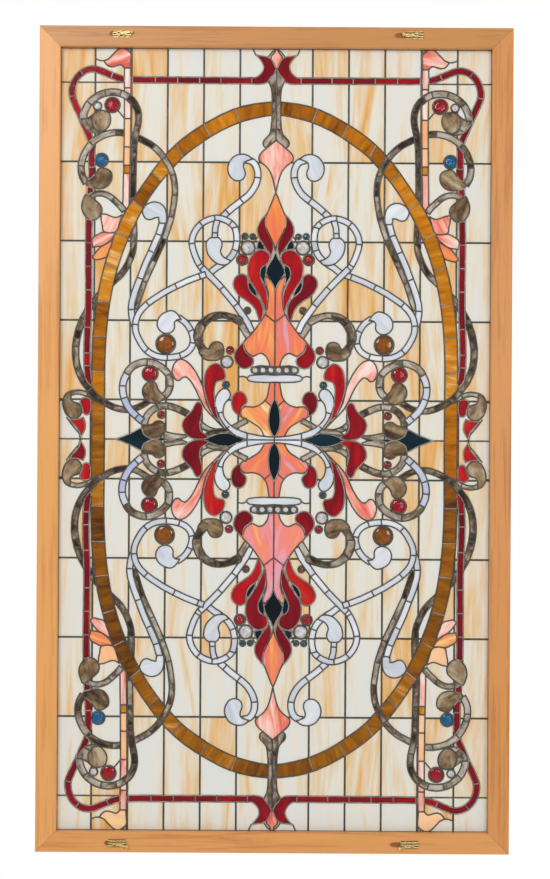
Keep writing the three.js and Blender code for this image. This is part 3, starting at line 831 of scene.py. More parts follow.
middle = V[F].mean(1)
top_owner = np.zeros(len(F), int)
top_shape = np.full(len(F), -1)
for number, shape in enumerate(SHAPES):
    low, high = shape["outline"].min(0), shape["outline"].max(0)
    near = np.where(((middle > low) & (middle < high)).all(1))[0]
    if len(near):
        hit = near[windings(shape["outline"], middle[near]) != 0]
        top_owner[hit] = OWNER_INDEX[shape["owner"]]
        top_shape[hit] = number
print("triangles of the ground:", int((top_owner == 0).sum()), "of", len(F))

# %% Find the leads: lines with different shapes on their sides, and joints
sides = np.stack([F, np.roll(F, -1, 1)], 2).reshape(-1, 2)
side_face = np.repeat(np.arange(len(F)), 3)
low_high = np.sort(sides, 1)
side_key = low_high[:, 0] * len(V) + low_high[:, 1]
keys, side_line = np.unique(side_key, return_inverse=True)
line_ends = np.stack([keys // len(V), keys % len(V)], 1)
order = np.argsort(side_line, kind="stable")
starts = np.searchsorted(side_line[order], np.arange(len(keys)))
counts = np.bincount(side_line, minlength=len(keys))
first_face = side_face[order[starts]]
second_face = np.where(counts > 1, side_face[order[np.minimum(starts + 1, len(order) - 1)]], -1)
owner_a = top_owner[first_face]
owner_b = np.where(second_face >= 0, top_owner[second_face], -1)
made = np.sort(np.array(cut_edges), 1)
made_key = made[:, 0] * len(V) + made[:, 1]
lengths = np.array([len(s) for s in source_edges])
flat_source = np.array([i for s in source_edges for i in s])
flat_line = np.searchsorted(keys, np.repeat(made_key, lengths))
flat_line = np.minimum(flat_line, len(keys) - 1)
right_key = keys[flat_line] == np.repeat(made_key, lengths)
flat_line, flat_source = flat_line[right_key], flat_source[right_key]
is_joint_here = np.zeros(len(keys), bool)
joint_ok = edge_is_joint[flat_source] & (edge_owner[flat_source] == owner_a[flat_line])
np.logical_or.at(is_joint_here, flat_line, joint_ok)
is_joint_here &= owner_a == owner_b
grid_line = np.zeros(len(keys), bool)
np.logical_or.at(grid_line, flat_line, joint_ok & edge_is_grid[flat_source])
is_lead = (owner_a != owner_b) | is_joint_here
grid_line &= is_joint_here
print(int(is_lead.sum()), "bits of lead,", int(grid_line.sum()), "of them on the grid")

# %% [markdown]
# ## Panes
# A pane is every triangle that can be reached without crossing a lead. Panes too
# small to cut from glass become solder.

# %% Gather the triangles into panes
SMALLEST_PANE = 16.0      # square mm
THINNEST_PANE = 0.85      # mm: area for each mm of edge
parent = list(range(len(F)))


def root(i):
    """The pane's first triangle."""
    while parent[i] != i:
        parent[i] = parent[parent[i]]
        i = parent[i]
    return i


for a, b in zip(first_face[~is_lead].tolist(), second_face[~is_lead].tolist()):
    if b >= 0:
        a, b = root(a), root(b)
        if a != b:
            parent[b] = a
pane_root = np.array([root(i) for i in range(len(F))])
_, pane = np.unique(pane_root, return_inverse=True)
PANES = pane.max() + 1
face_area = np.cross(V[F[:, 1]] - V[F[:, 0]], V[F[:, 2]] - V[F[:, 0]]) / 2
pane_area = np.bincount(pane, face_area)
side_length = np.linalg.norm(V[sides[:, 0]] - V[sides[:, 1]], axis=1)
on_edge = is_lead[side_line]
pane_edge = np.bincount(pane[side_face][on_edge], side_length[on_edge], minlength=PANES)
pane_shape = np.zeros(PANES, int)
pane_shape[pane] = top_shape
pane_kind = np.array([("cream" if s < 0 else SHAPES[s]["kind"]) for s in pane_shape], dtype=object)
thin = (pane_area < SMALLEST_PANE) | (pane_area / pane_edge < THINNEST_PANE)
pane_kind[thin & (pane_kind != "jewel")] = "solder"
print(PANES, "panes:", {k: int((pane_kind == k).sum()) for k in sorted(set(pane_kind))})

# %% [markdown]
# Each pane gets its own place in its sheet of glass: the pattern of the sheet is
# turned along or across the pane and moved by chance, as a glazier would lay the
# pattern on the sheet, and each pane has a tone of its own.

# %% Inset the panes and give each a place in its sheet
SEAM = 0.55               # mm from the middle of a lead to the glass
SHEET_DEPTH = 0.0028      # how far the pattern moves on from the front of a sheet to its back
GRAIN_SWAY = 0.06         # radians
SHEET_REACH = 3.0         # how far apart, in metres, two panes may lie in their sheet
PLAIN_GROUND = 2.2        # a power that makes most cream panes pale and a few amber
corner_key = pane[side_face] * len(V) + sides[:, 0]
far_key = pane[side_face] * len(V) + sides[:, 1]
pane_keys, face_corner = np.unique(corner_key, return_inverse=True)
pane_faces = face_corner.reshape(-1, 3)
spot_pane, spot_point = pane_keys // len(V), pane_keys % len(V)
spot = V[spot_point].copy()
along_side = unit(V[sides[:, 1]] - V[sides[:, 0]])
inward = np.stack([-along_side[:, 1], along_side[:, 0]], 1)
push = np.zeros_like(spot)
near_spot = np.searchsorted(pane_keys, corner_key[on_edge])
far_spot = np.searchsorted(pane_keys, far_key[on_edge])
np.add.at(push, near_spot, inward[on_edge])
np.add.at(push, far_spot, inward[on_edge])
size2 = (push**2).sum(1, keepdims=True)
spot += push * (2 * SEAM / np.maximum(size2, 0.5)) * (size2 > 1e-6)
pane_middle = np.stack([np.bincount(pane, middle[:, i] * face_area) for i in (0, 1)], 1)
pane_middle /= pane_area[:, None]
away = spot - pane_middle[spot_pane]
corners = V[F] - pane_middle[pane][:, None]
total = corners.sum(1)
xx, zz, xz = (
    np.bincount(pane, face_area * ((corners[..., i] * corners[..., j]).sum(1) + total[:, i] * total[:, j]))
    for i, j in ((0, 0), (1, 1), (0, 1))
)
long_angle = 0.5 * np.arctan2(2 * xz, xx - zz)
grain = np.array(["upright" if s < 0 else SHAPES[s]["grain"] for s in pane_shape])
turn = np.where(grain == "along", long_angle, 0.0)
turn = np.where(grain == "across", long_angle + np.pi / 2, turn)
turn = np.where(grain == "upright", np.pi / 2, turn) + chance.normal(0, GRAIN_SWAY, PANES)
tone_low = np.array([0.0 if s < 0 else SHAPES[s]["tone"][0] for s in pane_shape])
tone_high = np.array([1.0 if s < 0 else SHAPES[s]["tone"][1] for s in pane_shape])
pane_tone = tone_low + (tone_high - tone_low) * chance.random(PANES)
pane_tone = np.where(pane_kind == "cream", pane_tone**PLAIN_GROUND, pane_tone)
pane_shift = chance.uniform(-SHEET_REACH, SHEET_REACH, (PANES, 2))
c, s = np.cos(turn)[spot_pane], np.sin(turn)[spot_pane]
turned = np.stack([c * away[:, 0] + s * away[:, 1], -s * away[:, 0] + c * away[:, 1]], 1)
place = turned * MM + pane_shift[spot_pane]
print(len(pane_tone), "panes, tones from %.2f to %.2f" % (pane_tone.min(), pane_tone.max()))

# %% [markdown]
# A piece of glass is a flat sheet with a front, a back and cut edges. All the
# panes of one kind are one object, and their points carry the place in the sheet
# and the tone, so that one finish serves them all.

# %% Build the glass, one object for each kind
def make_mesh(name, vertices, face_groups, smooth_faces=True):
    """A mesh object from a vertex array and arrays of equal-sided faces."""
    mesh = bpy.data.meshes.new(name)
    mesh.vertices.add(len(vertices))
    mesh.vertices.foreach_set("co", np.asarray(vertices, np.float32).ravel())
    flat = np.concatenate([g.ravel() for g in face_groups]).astype(np.int32)
    size = np.concatenate([np.full(len(g), g.shape[1]) for g in face_groups])
    mesh.loops.add(len(flat))
    mesh.loops.foreach_set("vertex_index", flat)
    mesh.polygons.add(len(size))
    mesh.polygons.foreach_set("loop_start", np.concatenate([[0], np.cumsum(size)[:-1]]).astype(np.int32))
    mesh.polygons.foreach_set("use_smooth", np.full(len(size), smooth_faces))
    mesh.update(calc_edges=True)
    mesh.validate()
    made_object = bpy.data.objects.new(name, mesh)
    bpy.context.scene.collection.objects.link(made_object)
    return made_object


def keep(mesh, name, kind, values):
    """Stores one value, or one vector, for each point of the mesh."""
    layer = mesh.attributes.new(name, "FLOAT_VECTOR" if kind == "vector" else "FLOAT", "POINT")
    layer.data.foreach_set(kind, np.asarray(values, np.float32).ravel())


def glass_of(kind):
    """Front sheet, back sheet and cut edges of all the panes of one kind."""
    chosen = pane_kind[pane] == kind
    used, face = np.unique(pane_faces[chosen], return_inverse=True)
    face = face.reshape(-1, 3)
    n = len(used)
    wall = on_edge & chosen[side_face]
    a = np.searchsorted(used, np.searchsorted(pane_keys, corner_key[wall]))
    b = np.searchsorted(used, np.searchsorted(pane_keys, far_key[wall]))
    flat = spot[used] * MM
    front = np.stack([flat[:, 0], np.full(n, GLASS_FRONT), flat[:, 1] + CENTRE_Z], 1)
    back = front.copy()
    back[:, 1] = GLASS_BACK
    edges = np.stack([b, a, a + n, b + n], 1)
    glass = make_mesh("glass_" + kind, np.vstack([front, back]), [face, face[:, ::-1] + n, edges], False)
    local = np.column_stack([place[used], np.zeros(n)])
    keep(glass.data, "sheet_place", "vector", np.vstack([local, local + (0, 0, SHEET_DEPTH)]))
    keep(glass.data, "sheet_tone", "value", np.tile(pane_tone[spot_pane[used]], 2))
    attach(glass, "window")
    return glass


GLASS = {}
for kind in sorted(set(pane_kind) - {"jewel", "solder"}):
    GLASS[kind] = glass_of(kind)
    print(kind, len(GLASS[kind].data.polygons), "faces")

# %% [markdown]
# ## Lead
# Leads are traced from crossing to crossing, and a low rounded bead is carried
# along each run, on the front and on the back. The grid has wider leads than the
# ornament. Where runs meet, the glazier leaves a small dome of solder.

# %% Trace the runs of lead
lead_lines = np.where(is_lead & (second_face >= 0))[0]
solder_pane = pane_kind[pane] == "solder"
inside_solder = solder_pane[first_face[lead_lines]] & solder_pane[second_face[lead_lines]]
lead_lines = lead_lines[~inside_solder]
SHARP = -0.35      # cosine between the two ways on from a tip that stops a run
meets = {}
for line in lead_lines.tolist():
    for end in line_ends[line].tolist():
        meets.setdefault(end, []).append(line)


def is_stop(end):
    """A run stops at a crossing, at a loose end, at a change of lead and at a sharp tip."""
    here = meets[end]
    if len(here) != 2 or grid_line[here[0]] != grid_line[here[1]]:
        return True
    p, q = (line_ends[i][0] + line_ends[i][1] - end for i in here)
    u, v = V[p] - V[end], V[q] - V[end]
    return float(u @ v) > SHARP * float(np.linalg.norm(u) * np.linalg.norm(v))


stops = {end for end in meets if is_stop(end)}
used_lines = set()
RUNS = []


def follow(start, line):
    """Walks from a point along one line to the next stop."""
    walk = [start]
    while line not in used_lines:
        used_lines.add(line)
        nxt = int(line_ends[line][0] + line_ends[line][1] - walk[-1])
        walk.append(nxt)
        if nxt in stops:
            break
        line = meets[nxt][0] if meets[nxt][1] == line else meets[nxt][1]
    return walk


for end in sorted(stops):
    for line in meets[end]:
        if line not in used_lines:
            RUNS.append((follow(end, line), bool(grid_line[line])))
for line in lead_lines.tolist():
    if line not in used_lines:
        RUNS.append((follow(int(line_ends[line][0]), line), bool(grid_line[line])))
run_length = sum(np.linalg.norm(np.diff(V[r], axis=0), axis=1).sum() for r, _ in RUNS)
print(len(RUNS), "runs of lead, %.1f m in all," % (run_length * MM), len(stops), "stops")

# %% Carry the bead along the runs
ORNAMENT_HALF, GRID_HALF = 1.4, 1.8     # half widths, mm
NEAREST = 0.5                           # mm between two points of a bead
SHORT_RUN = 0.2                         # mm; the solder hides such a run
LEAST_LEAN = 0.6                        # holds a mitre back at a hard bend
SUNK, SPARE = 0.0002, 0.0001            # m: the foot lies in the glass, the crest inside the solid lead
ACROSS = np.array([-1.0, -0.78, -0.3, 0.3, 0.78, 1.0])
RISE = np.array([0.0, 0.62, 1.0, 1.0, 0.62, 0.0])


def bead(line, half, closed, foot, crest):
    """At each point of the line the bead's section is set square to it; mitres widen it at bends.
    Height goes from the foot at both edges to the crest in the middle."""
    side = side_of(line, closed)
    if closed:
        step = unit(np.roll(line, -1, 0) - line)
    else:
        step = unit(np.vstack([np.diff(line, axis=0), line[-1:] - line[-2:-1]]))
    lean = np.abs(step[:, 0] * side[:, 1] - step[:, 1] * side[:, 0])
    wide = half / np.clip(lean, LEAST_LEAN, 1.0)
    flat = line[:, None] + side[:, None] * (ACROSS[None, :, None] * wide[:, None, None])
    y = foot + (crest - foot) * RISE
    y = np.broadcast_to(y, flat.shape[:2])
    grid = np.stack([flat[..., 0] * MM, y, flat[..., 1] * MM + CENTRE_Z], 2)
    n, m = grid.shape[:2]
    i = np.arange(n if closed else n - 1)[:, None]
    j = np.arange(m - 1)[None]
    k = (i + 1) % n
    faces = np.stack([i * m + j, k * m + j, k * m + j + 1, i * m + j + 1], 2).reshape(-1, 4)
    return grid.reshape(-1, 3), faces if crest > foot else faces[:, ::-1]


def both_sides(line, half, closed, sunk, spare):
    """The same bead on the front and on the back of the panel."""
    return (bead(line, half, closed, GLASS_FRONT + sunk, LEAD_FRONT + spare),
            bead(line, half, closed, GLASS_BACK - sunk, LEAD_BACK - spare))


def tidy_run(walk):
    """The run's points, without those too near to the one before; both its ends stay."""
    line = V[walk]
    last = len(line) - 1
    kept = [0]
    for i in range(1, last + 1):
        if np.linalg.norm(line[i] - line[kept[-1]]) > NEAREST:
            kept.append(i)
    kept = [*kept[:-1], last] if len(kept) > 1 else [0, last]
    return line[kept]


def gathered(parts):
    """Joins lists of vertices and faces into one pair of arrays."""
    shift = np.cumsum([0] + [len(v) for v, _ in parts[:-1]])
    return np.vstack([v for v, _ in parts]), np.vstack([f + s for (_, f), s in zip(parts, shift)])


def beside_dark(walk):
    """Whether ruby or blue-black glass lies on either side of the run, or the amber ring's glass on both;
    there the solder gets a painted highlight, a lighter grey that stands in for glare."""
    line = next(i for i in meets[walk[0]] if walk[1] in line_ends[i])
    kinds = [pane_kind[pane[f]] for f in (first_face[line], second_face[line])]
    return "red" in kinds or "teal" in kinds or set(kinds) <= {"amber", "deep_amber"}


fronts = {"lead_grid_front": [], "lead_ornament_front": [], "lead_bright_front": []}
backs = []
for walk, is_grid in RUNS:
    line = tidy_run(walk)
    if len(line) == 2 and np.linalg.norm(line[1] - line[0]) < SHORT_RUN:
        continue
    closed = walk[0] == walk[-1] and walk[0] not in stops and len(line) > 4
    if closed:
        line = line[:-1]
    front, back = both_sides(line, GRID_HALF if is_grid else ORNAMENT_HALF, closed, SUNK, SPARE)
    # Leads beside ruby, blue-black or amber ring glass get a painted highlight (a lighter grey for glare).
    kind = "grid" if is_grid else ("bright" if beside_dark(walk) else "ornament")
    fronts["lead_" + kind + "_front"].append(front)
    backs.append(back)
for name, parts in (*fronts.items(), ("lead_back", backs)):
    vertices, faces = gathered(parts)
    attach(make_mesh(name, vertices, [faces]), "window")
    print(name, len(faces), "faces")

# %% Solder at the meetings, solder fillings, and the lead round the edge
DOME_SIDES = 9
DOME_WIDER = {"grid": 1.25, "ornament": 1.12, "two leads": 0.9}     # times the lead's half width
FILLING_DEPTH = 0.0004
RIM_INSET, RIM_HALF = 2.9, 2.1


def domes(where, radius, foot, crest):
    """A low dome over each place: rings at 1, 0.72 and 0.34 of the radius, at 0, 0.72 and 1 of the rise."""
    turn_angle = np.linspace(0, 2 * np.pi, DOME_SIDES, endpoint=False)
    share = np.array([1.0, 0.72, 0.34])
    rise = np.array([0.0, 0.72, 1.0])
    circle = np.stack([np.cos(turn_angle), np.sin(turn_angle)], 1)
    flat = where[:, None, None] + radius[:, None, None, None] * share[None, :, None, None] * circle
    y = np.broadcast_to((foot + (crest - foot) * rise)[None, :, None], flat.shape[:3])
    spots = np.stack([flat[..., 0] * MM, y, flat[..., 1] * MM + CENTRE_Z], 3).reshape(-1, 3)
    base = (np.arange(len(where)) * 3 * DOME_SIDES)[:, None, None]
    j = np.arange(DOME_SIDES)[None, None]
    k = (j + 1) % DOME_SIDES
    i = np.arange(2)[None, :, None] * DOME_SIDES
    low, high = base + i, base + i + DOME_SIDES
    walls = np.stack([low + j, low + k, high + k, high + j], 3).reshape(-1, 4)
    caps = base[:, 0] + 2 * DOME_SIDES + np.arange(DOME_SIDES)[None]
    if crest > foot:
        walls, caps = walls[:, ::-1], caps[:, ::-1]
    return spots, walls, caps


meeting = np.array(sorted(stops))
on_grid = np.array([all(grid_line[i] for i in meets[end]) for end in meeting.tolist()])
many = np.array([len(meets[end]) for end in meeting.tolist()])
dome_radius = np.where(on_grid, GRID_HALF * DOME_WIDER["grid"], ORNAMENT_HALF * DOME_WIDER["ornament"])
dome_radius *= np.where(many > 2, 1.0, DOME_WIDER["two leads"])
for name, foot, crest in (
    ("solder_front", GLASS_FRONT + SUNK / 2, LEAD_FRONT + SPARE / 2),
    ("solder_back", GLASS_BACK - SUNK / 2, LEAD_BACK - SPARE / 2),
):
    spots, walls, caps = domes(V[meeting], dome_radius, foot, crest)
    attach(make_mesh(name, spots, [walls, caps]), "window")
filled = pane_kind[pane] == "solder"
used, face = np.unique(F[filled], return_inverse=True)
face = face.reshape(-1, 3)
flat = V[used] * MM
layers = []
for y in (LEAD_FRONT + FILLING_DEPTH, LEAD_BACK - FILLING_DEPTH):
    layers.append(np.stack([flat[:, 0], np.full(len(flat), y), flat[:, 1] + CENTRE_Z], 1))
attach(make_mesh("solder_filling", np.vstack(layers), [face, face[:, ::-1] + len(used)]), "window")
rim_line = np.array([[-1, -1], [1, -1], [1, 1], [-1, 1]]) * (W - RIM_INSET, H - RIM_INSET)
vertices, faces = gathered(both_sides(rim_line, RIM_HALF, True, SUNK, SPARE))
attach(make_mesh("lead_edge", vertices, [faces]), "window")
print(len(meeting), "meetings,", int(filled.sum()), "filled triangles")

# %% [markdown]
# ## Jewels
# A pressed jewel is a low dome with a flat back, turned round its own middle.
# Larger ones carry shallow petals round their rim, as pressed rondels do. Each
# sits in a round collar of lead.

# %% Turn the jewels and their collars
LARGE = 8.0                  # mm; larger jewels have petals and more sides
JEWEL_RISE = 0.42            # of the radius
PETAL_DEPTH = 0.16           # of the rise
JEWEL_SUNK = 0.0004          # m into the glass
COLLAR_SIDES = 30
COLLAR_HALF = 1.9, 1.5       # mm, for a large and a small jewel
COLLAR_PROUD = 0.0002        # m in front of the other leads


def jewel_body(x, z, radius, petals):
    """Radius and height along the section: the height falls as a circle towards the rim, and a cosine
    round the middle cuts the petals."""
    turns = 40 if radius > LARGE else 24
    angle = np.linspace(0, 2 * np.pi, turns, endpoint=False)[None]
    share = np.array([1.0, 0.97, 0.88, 0.74, 0.56, 0.34, 0.12])[:, None]
    height = min(radius * JEWEL_RISE * MM, GLASS_FRONT - JEWEL_FRONT) + JEWEL_SUNK
    wave = petals * PETAL_DEPTH * np.cos(angle * round(radius * 0.9 + 4)) * np.sin(np.pi * share) ** 2
    fall = np.sqrt(1 - 0.96 * share**2) - 0.2 * (share > 0.99)
    y = GLASS_FRONT + JEWEL_SUNK - height * fall * (1 + wave)
    r = radius * share * MM
    top = np.stack([x * MM + r * np.cos(angle), y, z * MM + CENTRE_Z + r * np.sin(angle)], 2)
    back = top[:1].copy()
    back[..., 1] = GLASS_BACK
    grid = np.concatenate([back, top])
    n = turns
    i = np.arange(len(grid) - 1)[:, None]
    j = np.arange(n)[None]
    k = (j + 1) % n
    walls = np.stack([i * n + j, i * n + n + j, i * n + n + k, i * n + k], 2).reshape(-1, 4)[:, ::-1]
    caps = [np.arange(n)[None, ::-1].copy(), (np.arange(n) + (len(grid) - 1) * n)[None]]
    return grid.reshape(-1, 3), walls, caps


jewel_parts, collar_parts = {}, []
for kind, x, z, radius in JEWELS:
    vertices, walls, caps = jewel_body(x, z, radius - 0.3, 1.0 if radius > LARGE else 0.0)
    jewel_parts.setdefault(kind, []).append((vertices, walls, caps))
    angle = np.linspace(0, 2 * np.pi, COLLAR_SIDES, endpoint=False)
    ring = np.stack([x + (radius + 0.4) * np.cos(angle), z + (radius + 0.4) * np.sin(angle)], 1)
    half = COLLAR_HALF[0] if radius > LARGE else COLLAR_HALF[1]
    collar_parts.append(bead(ring, half, True, GLASS_FRONT + SUNK / 2, LEAD_FRONT - COLLAR_PROUD))
    collar_parts.append(bead(ring, half, True, GLASS_BACK - SUNK / 2, LEAD_BACK + COLLAR_PROUD / 2))
for kind, parts in jewel_parts.items():
    shift = np.cumsum([0] + [len(p[0]) for p in parts[:-1]])
    groups = [np.vstack([p[1] + s for p, s in zip(parts, shift)])]
    for size in sorted({p[2][0].shape[1] for p in parts}):
        caps = [cap + s for p, s in zip(parts, shift) for cap in p[2] if cap.shape[1] == size]
        groups.append(np.vstack(caps))
    GLASS[kind] = make_mesh("glass_" + kind + "s", np.vstack([p[0] for p in parts]), groups)
    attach(GLASS[kind], "window")
vertices, faces = gathered(collar_parts)
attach(make_mesh("jewel_collars", vertices, [faces]), "window")
print({kind: len(parts) for kind, parts in jewel_parts.items()})

# %% [markdown]
# ## Finishes
# Opal glass is milky with streaks that run through the sheet. Each pane's own
# place in its sheet, kept on its points, drives stretched noise; the noise and
# the pane's tone pick a colour from a ramp made for that glass.

# %% Tools for finishes
def tint(red, green, blue):
    """A colour given as seen, 0 to 255, turned into light values."""
    seen = np.array([red, green, blue]) / 255.0
    return (*np.where(seen <= 0.04045, seen / 12.92, ((seen + 0.055) / 1.055) ** 2.4).tolist(), 1.0)


def fill(tree, node, inputs):
    """Gives each socket named its link, or its plain value."""
    for socket, source in inputs.items():
        if isinstance(source, bpy.types.NodeSocket):
            tree.links.new(source, node.inputs[socket])
        else:
            node.inputs[socket].default_value = source


def new_finish(name):
    """A new material's two helpers: one adds a node, one fills the main shader and returns the material."""
    material = bpy.data.materials.new(name)
    material.use_nodes = True
    tree = material.node_tree

    def add(kind, inputs=None, **settings):
        node = tree.nodes.new(kind)
        for key, value in settings.items():
            setattr(node, key, value)
        fill(tree, node, inputs or {})
        return node

    def cover(inputs):
        fill(tree, tree.nodes["Principled BSDF"], inputs)
        return material

    return add, cover


def noise_of(add, place, scale, detail, rough=0.5, warp=0.0):
    """Smooth noise over a place."""
    inputs = {"Vector": place, "Scale": scale, "Detail": detail, "Roughness": rough, "Distortion": warp}
    return add("ShaderNodeTexNoise", inputs).outputs["Fac"]


def times_plus(add, value, factor, plus):
    """The value times the factor, plus a third."""
    return add("ShaderNodeMath", {0: value, 1: factor, 2: plus}, operation="MULTIPLY_ADD").outputs[0]


def vector_math(add, operation, first, second):
    """Two vectors brought together by the named operation."""
    return add("ShaderNodeVectorMath", {0: first, 1: second}, operation=operation).outputs[0]


def relief_of(add, height, strength, depth):
    """A raised and hollowed skin that follows the height."""
    inputs = {"Height": height, "Strength": strength, "Distance": depth}
    return add("ShaderNodeBump", inputs).outputs["Normal"]


def ramp_of(add, source, stops):
    """A colour ramp through (place, colour) stops."""
    node = add("ShaderNodeValToRGB", {0: source})
    ramp = node.color_ramp
    while len(ramp.elements) < len(stops):
        ramp.elements.new(0.5)
    for element, (where, colour) in zip(ramp.elements, stops):
        element.position = where
        element.color = tint(*colour)
    return node.outputs["Color"]


def streaky_glass(name, stops, fine=26.0, stretch=0.22, tone_pull=0.5, streak_pull=1.0, bump=0.10):
    """Opal glass. Noise drawn out along the sheet, 0.72 of it wide and 0.28 fine, is spread about its
    middle and moved by the pane's tone; the sum picks the colour."""
    add, cover = new_finish(name)
    place = add("ShaderNodeAttribute", attribute_name="sheet_place").outputs["Vector"]
    tone = add("ShaderNodeAttribute", attribute_name="sheet_tone").outputs["Fac"]
    drawn = vector_math(add, "MULTIPLY", place, (stretch, 1.0, 1.0))
    wide = noise_of(add, drawn, fine, 3.0, warp=0.9)
    narrow = noise_of(add, drawn, fine * 4, 3.0, rough=0.55, warp=0.5)
    both = times_plus(add, narrow, 0.28, times_plus(add, wide, 0.72, 0.0))
    spread = times_plus(add, both, 2.2 * streak_pull, 0.5 - 1.1 * streak_pull - tone_pull / 2)
    picked = times_plus(add, tone, tone_pull, spread)
    ripple = noise_of(add, add("ShaderNodeTexCoord").outputs["Object"], 90.0, 2.0, warp=0.6)
    return cover({
        "Base Color": ramp_of(add, picked, stops), "Normal": relief_of(add, ripple, bump, 0.002),
        "Roughness": 0.13, "IOR": 1.5, "Specular IOR Level": 0.25,
    })


def dress(piece, material, slot):
    """Gives a piece its only material; slot is not used."""
    piece.data.materials.clear()
    piece.data.materials.append(material)


# %% [markdown]
# Each row below is one kind of glass as it would be bought: the finish's name,
# the stuff in the record that it is, how it streaks, and its colours from one
# end of the noise to the other.

# %% The glasses
GLASS_FINISH = {
    "cream": ("cream_opal", "cream_glass",
        {"fine": 34.0, "stretch": 0.1, "tone_pull": 0.6, "streak_pull": 1.15}, [
        (0.0, (222, 222, 217)), (0.34, (226, 220, 205)), (0.5, (225, 210, 184)), (0.64, (226, 199, 162)),
        (0.8, (227, 187, 134)), (1.0, (222, 164, 90))]),
    "white": ("white_opal", "cream_glass", {"fine": 36.0}, [
        (0.0, (190, 196, 206)), (0.5, (213, 217, 224)), (1.0, (232, 234, 237))]),
    "grey": ("mottled_grey", "cream_glass",
        {"fine": 58.0, "stretch": 0.5, "tone_pull": 0.75, "streak_pull": 1.3}, [
        (0.0, (190, 182, 170)), (0.3, (158, 146, 128)), (0.52, (118, 102, 84)), (0.76, (76, 60, 46)),
        (1.0, (44, 32, 26))]),
    "brown": ("mottled_brown", "amber_glass",
        {"fine": 38.0, "stretch": 0.5, "tone_pull": 0.6, "streak_pull": 1.25}, [
        (0.0, (188, 170, 142)), (0.35, (152, 130, 100)), (0.65, (112, 88, 62)), (1.0, (58, 42, 34))]),
    "deep_amber": ("deep_amber", "amber_glass",
        {"fine": 52.0, "stretch": 0.25, "tone_pull": 0.6, "streak_pull": 0.75}, [
        (0.0, (74, 42, 10)), (0.26, (118, 68, 8)), (0.62, (154, 94, 8)), (0.86, (182, 120, 40)),
        (1.0, (212, 168, 102))]),
    "amber": ("streaky_amber", "amber_glass",
        {"fine": 52.0, "stretch": 0.25, "tone_pull": 0.6, "streak_pull": 0.75}, [
        (0.0, (104, 58, 6)), (0.26, (156, 90, 4)), (0.62, (192, 116, 4)), (0.86, (210, 140, 44)),
        (1.0, (228, 180, 112))]),
    "red": ("ruby_red", "red_glass", {"tone_pull": 0.7, "streak_pull": 0.8, "bump": 0.16}, [
        (0.0, (92, 4, 20)), (0.4, (134, 8, 24)), (0.68, (176, 14, 22)), (1.0, (200, 46, 30))]),
    "peach": ("peach_streaky", "amber_glass", {"tone_pull": 0.6}, [
        (0.0, (246, 160, 104)), (0.45, (249, 188, 138)), (0.8, (250, 206, 164)), (1.0, (250, 216, 130))]),
    "lilac": ("lilac_opal", "cream_glass", {"tone_pull": 0.6}, [
        (0.0, (214, 216, 220)), (0.5, (196, 202, 220)), (1.0, (164, 174, 208))]),
    "coral": ("coral_streaky", "red_glass",
        {"fine": 34.0, "stretch": 0.16, "tone_pull": 0.4, "streak_pull": 1.45}, [
        (0.0, (222, 158, 168)), (0.14, (230, 122, 112)), (0.44, (236, 126, 90)), (0.7, (244, 156, 92)),
        (0.86, (247, 192, 126)), (1.0, (248, 220, 178))]),
    "rose": ("rose_streaky", "red_glass", {"fine": 32.0, "stretch": 0.16, "streak_pull": 1.3}, [
        (0.0, (214, 156, 190)), (0.25, (232, 160, 174)), (0.5, (238, 136, 128)), (0.72, (242, 142, 104)),
        (1.0, (248, 196, 146))]),
    "orange": ("orange_streaky", "amber_glass",
        {"fine": 36.0, "stretch": 0.16, "tone_pull": 0.2, "streak_pull": 1.4}, [
        (0.0, (232, 112, 84)), (0.5, (242, 138, 76)), (1.0, (249, 180, 118))]),
    "pink": ("pink_streaky", "red_glass",
        {"fine": 40.0, "stretch": 0.2, "tone_pull": 0.6, "streak_pull": 1.4}, [
        (0.0, (248, 230, 222)), (0.3, (248, 204, 190)), (0.52, (244, 174, 158)), (0.74, (236, 136, 112)),
        (1.0, (220, 96, 92))]),
    "teal": ("blue_black", "blue_glass", {"bump": 0.14}, [
        (0.0, (2, 12, 20)), (0.6, (3, 24, 36)), (1.0, (10, 46, 58))]),
}
for kind, (name, slot, settings, stops) in GLASS_FINISH.items():
    dress(GLASS[kind], streaky_glass(name, stops, **settings), slot)


def jewel_glass(name, colour, through, rough=0.06, bump=0.25):
    """Clear pressed glass: one colour, light let through by a plain value, and a fine rough pressing."""
    add, cover = new_finish(name)
    where = add("ShaderNodeTexCoord").outputs["Object"]
    cells = add("ShaderNodeTexVoronoi", {"Vector": where, "Scale": 420.0}).outputs["Distance"]
    cloud = noise_of(add, where, 160.0, 2.0)
    return cover({
        "Base Color": ramp_of(add, cloud, [(0.3, [v * 0.72 for v in colour]), (0.7, colour)]),
        "Normal": relief_of(add, cells, bump, 0.001), "Roughness": rough, "Specular IOR Level": 0.3,
        "Transmission Weight": through, "Coat Weight": 0.1, "Coat Roughness": 0.04,
    })


for kind, name, colour, through, slot, settings in (
    ("red_jewel", "ruby_pressed", (190, 2, 28), 0.4, "red_glass", {"bump": 0.03}),
    ("blue_jewel", "blue_pressed", (4, 116, 172), 0.4, "blue_glass", {"bump": 0.03}),
    ("amber_jewel", "amber_pressed", (170, 98, 12), 0.5, "amber_glass", {"bump": 0.03}),
    ("clear_jewel", "clear_pressed", (248, 242, 242), 0.4, "cream_glass", {"rough": 0.2, "bump": 0.12}),
    ("teal_jewel", "teal_pressed", (14, 96, 116), 0.3, "blue_glass", {}),
    ("brown_jewel", "brown_pressed", (120, 84, 50), 0.35, "amber_glass", {}),
):
    dress(GLASS[kind], jewel_glass(name, colour, through, **settings), slot)
print("glasses:", sorted(GLASS))
